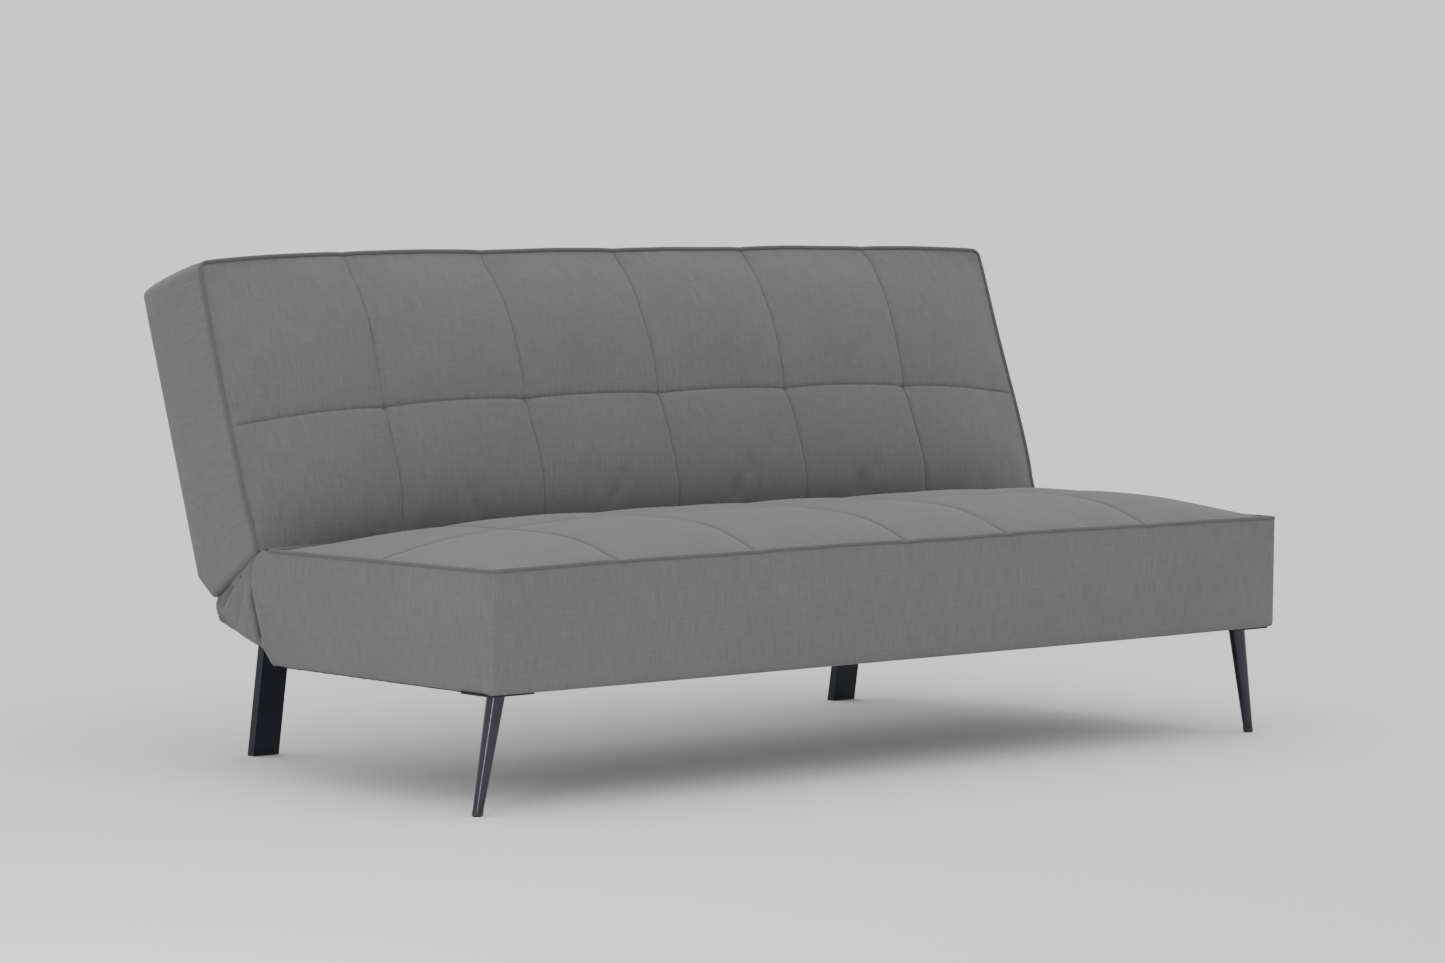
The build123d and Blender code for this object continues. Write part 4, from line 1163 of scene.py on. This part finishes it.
def build_gusset(name, side):
    """Gathered cloth that closes the wedge between the seat's end and the back's end."""
    heights = np.array([0.349, 0.340, 0.328, 0.310, 0.280, 0.245, 0.222, 0.2005])
    seam = np.stack([SEAT_REAR - 0.004 + flap_reach(heights), heights], axis=1)
    depths = np.linspace(0.001, 0.124, 12)
    back_edge = np.stack([back_place(0.0, np.array(-drop_of(d)) + 0.004, -d)[1:] for d in depths])
    rows, cols = 90, 110
    t = np.linspace(0, 1, rows)
    q = np.linspace(0, 1, cols)
    from_seat = along_line(seam, t)
    from_back = along_line(back_edge, t)
    base = from_seat[:, None, :] * (1 - q)[None, :, None]
    base = base + from_back[:, None, :] * q[None, :, None]
    hem = along_line(LOWER_EDGE[::-1], q)
    straight = from_seat[-1] * (1 - q)[:, None] + from_back[-1] * q[:, None]
    base = base + (hem - straight)[None, :, :] * (t**2)[:, None, None]
    y, z = base[..., 0], base[..., 1]

    def furrow(ay, az, by, bz, width, depth, skew=0.0):
        """Straight fold from a to b, fading towards its ends."""
        dy, dz = by - ay, bz - az
        span = math.hypot(dy, dz)
        dy, dz = dy / span, dz / span
        run = ((y - ay) * dy + (z - az) * dz) / span
        off = (y - ay) * -dz + (z - az) * dy
        window = smooth((run + 0.15) / 0.3) * smooth((1.15 - run) / 0.3)
        sharp = np.exp(-np.abs(off) / width)
        step_side = np.tanh(off / (width * 0.6)) * np.exp(-np.abs(off) / (3 * width))
        return depth * window * (sharp + skew * step_side)

    inward = furrow(0.1985, 0.2870, 0.2235, 0.2500, 0.0035, 0.0105, 0.9)
    inward += furrow(0.1560, 0.2850, 0.1370, 0.2080, 0.0028, 0.0065, -0.7)
    inward += furrow(0.1700, 0.3000, 0.1850, 0.2300, 0.0090, 0.0028)
    inward += furrow(0.2080, 0.2780, 0.2330, 0.2650, 0.0050, 0.0022, 0.4)
    inward += 0.0090 * np.exp(-np.hypot(y - 0.181, z - 0.3045) ** 2 / 0.0026**2)
    inward += 0.0012 * wobble(y + 0.4 * z, 0.045, 0.5) * wobble(z - 0.6 * y, 0.06, 1.4)
    knot = np.exp(-np.hypot(y - 0.226, z - 0.236) ** 2 / 0.009**2)
    inward += 0.0036 * knot * np.sin((y + z) * 900)
    rolled = smooth((t - 0.93) / 0.07)[:, None] * smooth((q - 0.35) / 0.2)[None, :]
    inward += 0.0022 * np.sin(rolled * math.pi)
    middle = np.sin(math.pi * q)[None, :] * np.sin(math.pi * np.clip(t * 0.55, 0, 1))[:, None]
    outer = HALF_X - 0.0070 + 0.0056 * middle
    x = side * np.clip(outer - inward, 0, HALF_X + 0.0015)
    return sheet_piece(name, stack(x, y, z), q * 0.12, t * 0.15, CLOTH_THICK, out=side)


def build_gussets():
    for name, side in (("gusset_left", -1), ("gusset_right", 1)):
        obj = build_gusset(name, side)
        finish_piece(obj, "cover_fabric", None, ["hinge_cloth"])
        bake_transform(obj)


def build_under_sheet():
    """Cloth that closes the wedge from below, from end to end."""
    line = [(SEAT_REAR - 0.002, 0.203), (0.127, 0.2045), (0.166, 0.2165), (0.204, 0.2290),
            (0.224, 0.2360), (0.238, 0.2540), (0.240, 0.2700), (0.262, 0.2960)]
    half_x = HALF_X - 0.006
    rows = 40
    xs = stations(-half_x, half_x, [], 0.010, [], [0.002])
    t = np.linspace(0, 1, rows)
    yz = along_line(line, t)
    x = np.repeat(xs[None, :], rows, axis=0)
    slack = np.sin(math.pi * t)[:, None]
    wave = 0.0035 * wobble(x + 0.15 * t[:, None], 0.16, 0.6) * slack
    wave = wave + 0.0020 * wobble(x, 0.06, 1.6) * slack
    y = yz[:, :1] + 0.3 * wave
    z = yz[:, 1:] + wave
    obj = sheet_piece("hinge_under_cloth", stack(x, y, z), xs, t * 0.20, CLOTH_THICK, out=-1)
    finish_piece(obj, "cover_fabric", None, ["hinge_cloth"])
    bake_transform(obj)


def build_crease():
    """Cloth in the crease where the seat meets the back, folded down between them."""
    line = [(SEAT_REAR - 0.001, 0.3495), (0.1150, 0.3440), (0.1190, 0.3340), (0.1235, 0.3285),
            (0.1280, 0.3310), (0.1325, 0.3380), (0.1375, 0.3430)]
    half_x = HALF_X - 0.004
    xs = stations(-half_x, half_x, [], 0.008, [], [0.002])
    t = np.linspace(0, 1, 24)
    yz = along_line(line, t)
    x = np.repeat(xs[None, :], len(t), axis=0)
    slack = np.sin(math.pi * t)[:, None]
    y = yz[:, :1] + 0.0012 * wobble(x, 0.11, 0.4) * slack
    z = yz[:, 1:] + 0.0020 * wobble(x, 0.19, 1.0) * slack
    obj = sheet_piece("hinge_crease_cloth", stack(x, y, z), xs, t * 0.045, CLOTH_THICK)
    finish_piece(obj, "cover_fabric", None, ["hinge_cloth"])
    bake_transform(obj)


# ---------------------------------------------------------------------------------------------
# Tuft stitches
# ---------------------------------------------------------------------------------------------

TIE_S, TIE_FOOT = 0.208, -0.0808    # place of the ties' toggles, under the spring pad
TIE_SIDES = 20
TWINE_R, STITCH_R = 0.0012, 0.00055
TOGGLE = [                          # heights and radii of a toggle's rings
    (0.0, 0.0068), (0.0004, 0.0077), (0.0012, 0.0080),
    (0.0020, 0.0079), (0.0028, 0.0070), (0.0031, 0.0016),
]


def ring_points(centre, r, a_way, b_way, count):
    """Circle of points round a centre, from the first way towards the second."""
    turns = [2 * math.pi * k / count for k in range(count)]
    return [centre + r * (math.cos(w) * a_way + math.sin(w) * b_way) for w in turns]


def add_tube(work, rings):
    """Closed tube through rings of points."""
    rings = [[work.verts.new(point) for point in ring] for ring in rings]
    for first, second in zip(rings, rings[1:]):
        for a in range(len(first)):
            b = (a + 1) % len(first)
            work.faces.new([first[a], first[b], second[b], second[a]])
    work.faces.new(rings[0][::-1])
    work.faces.new(rings[-1])


def build_tuft_stitches():
    """The ties that pull the tufts in: toggle, twine, and a small crossed stitch in the tuft."""
    mesh = bpy.data.meshes.new("tuft_stitches")
    work = bmesh.new()
    cushion = bpy.data.objects["back_cushion"]
    co = np.zeros(len(cushion.data.vertices) * 3)
    cushion.data.vertices.foreach_get("co", co)
    co = co.reshape(-1, 3)
    side = np.array([1.0, 0, 0])
    for x0 in BACK_SEAMS:
        s0 = BACK_LONG_SEAM + float(long_seam_shift(np.array([x0]))[0])
        target = back_place(x0, s0, 0.02)
        flat = co - np.outer((co - target) @ OUTWARD, OUTWARD)
        near_points = co[np.linalg.norm(flat - target, axis=1) < 0.006]
        height = float(((near_points - target) @ OUTWARD).min())
        centre = target + OUTWARD * (height + 0.0008)
        foot = back_place(x0, TIE_S, TIE_FOOT)
        neck = back_place(x0, TIE_S, TIE_FOOT + 0.0032)
        rings = [ring_points(foot + OUTWARD * at, r, side, UPWARD, TIE_SIDES) for at, r in TOGGLE]
        for f in np.linspace(0, 1, 30):
            middle = neck * (1 - f) + (centre - OUTWARD * 0.0004) * f
            rings.append(ring_points(middle, TWINE_R, side, UPWARD, TIE_SIDES))
        add_tube(work, rings)
        for angle in (35, 145):
            turn = math.radians(angle)
            axis = math.cos(turn) * side + math.sin(turn) * UPWARD
            across = np.cross(OUTWARD, axis)
            rings = []
            for k in range(9):
                f = k / 8 * 2 - 1
                middle = centre + axis * f * 0.0032 + OUTWARD * (0.0010 * (1 - f * f))
                r = STITCH_R * math.sqrt(max(0.15, 1 - f**6))
                rings.append(ring_points(middle, r, across, OUTWARD, 8))
            add_tube(work, rings)
    bmesh.ops.recalc_face_normals(work, faces=work.faces)
    work.to_mesh(mesh)
    work.free()
    mesh.shade_smooth()
    obj = put("tuft_stitches", mesh)
    finish_piece(obj, "tuft_twine", "backrest", ["tuft_ties"])


# ---------------------------------------------------------------------------------------------
# Floor, backdrop and light
# ---------------------------------------------------------------------------------------------

SURROUND = 1.08                     # strength of the white surroundings
SOFTBOX = 1.05                      # and of the soft light from above
SOFTBOX_AIM = (0.28, 0.33, -0.90)
STRIP = 14.0                        # and of the upright strip that the front legs reflect
STRIP_AT = (-2.7, -1.45, 0.75)
# The floor is as bright as its surroundings, so that no horizon shows.
FLOOR = SURROUND / (SURROUND + SOFTBOX * 0.90 / math.pi)
FLOOR_COLOR = (FLOOR, FLOOR, FLOOR)


def build_stage():
    """Pale floor, far wider than the view."""
    mesh = bpy.data.meshes.new("floor")
    size = 60
    corners = [(-size, -size, 0), (size, -size, 0), (size, size, 0), (-size, size, 0)]
    mesh.from_pydata(corners, [], [(0, 1, 2, 3)])
    floor = put("floor", mesh)
    look = Look("floor", FLOOR_COLOR, 0.9, Specular_IOR_Level=0.0)
    grain = look.noise(look.place(), 1.5, 2)
    tone = look.spread(grain, 0.3, 0.7, 0.997, 1.003)
    mesh.materials.append(look.done(look.shade(FLOOR_COLOR, tone)))


def build_light():
    """White surroundings, a very soft light from above, and a strip for the legs' highlight."""
    world = bpy.data.worlds.new("studio")
    world.use_nodes = True
    background = world.node_tree.nodes["Background"]
    background.inputs["Color"].default_value = (1, 1, 1, 1)
    background.inputs["Strength"].default_value = SURROUND
    bpy.context.scene.world = world
    data = bpy.data.lights.new("softbox", "SUN")
    data.energy = SOFTBOX
    data.angle = math.radians(75)
    lamp = put("softbox", data)
    lamp.rotation_euler = Vector(SOFTBOX_AIM).to_track_quat("-Z", "Y").to_euler()
    data = bpy.data.lights.new("strip", "AREA")
    data.shape = "RECTANGLE"
    data.size, data.size_y = 0.30, 1.6
    data.energy = STRIP
    lamp = put("strip", data)
    lamp.visible_camera = False
    lamp.location = STRIP_AT
    aim = Vector((0.0, -0.35, 0.1)) - Vector(STRIP_AT)
    lamp.rotation_euler = aim.to_track_quat("-Z", "Y").to_euler()


# ---------------------------------------------------------------------------------------------

build_seat_cushion()
build_seat_border()
build_seat_piping()
build_back_cushion()
build_back_border()
build_back_piping()
build_back_lining()
build_dust_cover()
build_gussets()
build_under_sheet()
build_crease()
build_tuft_stitches()
build_stage()
build_light()
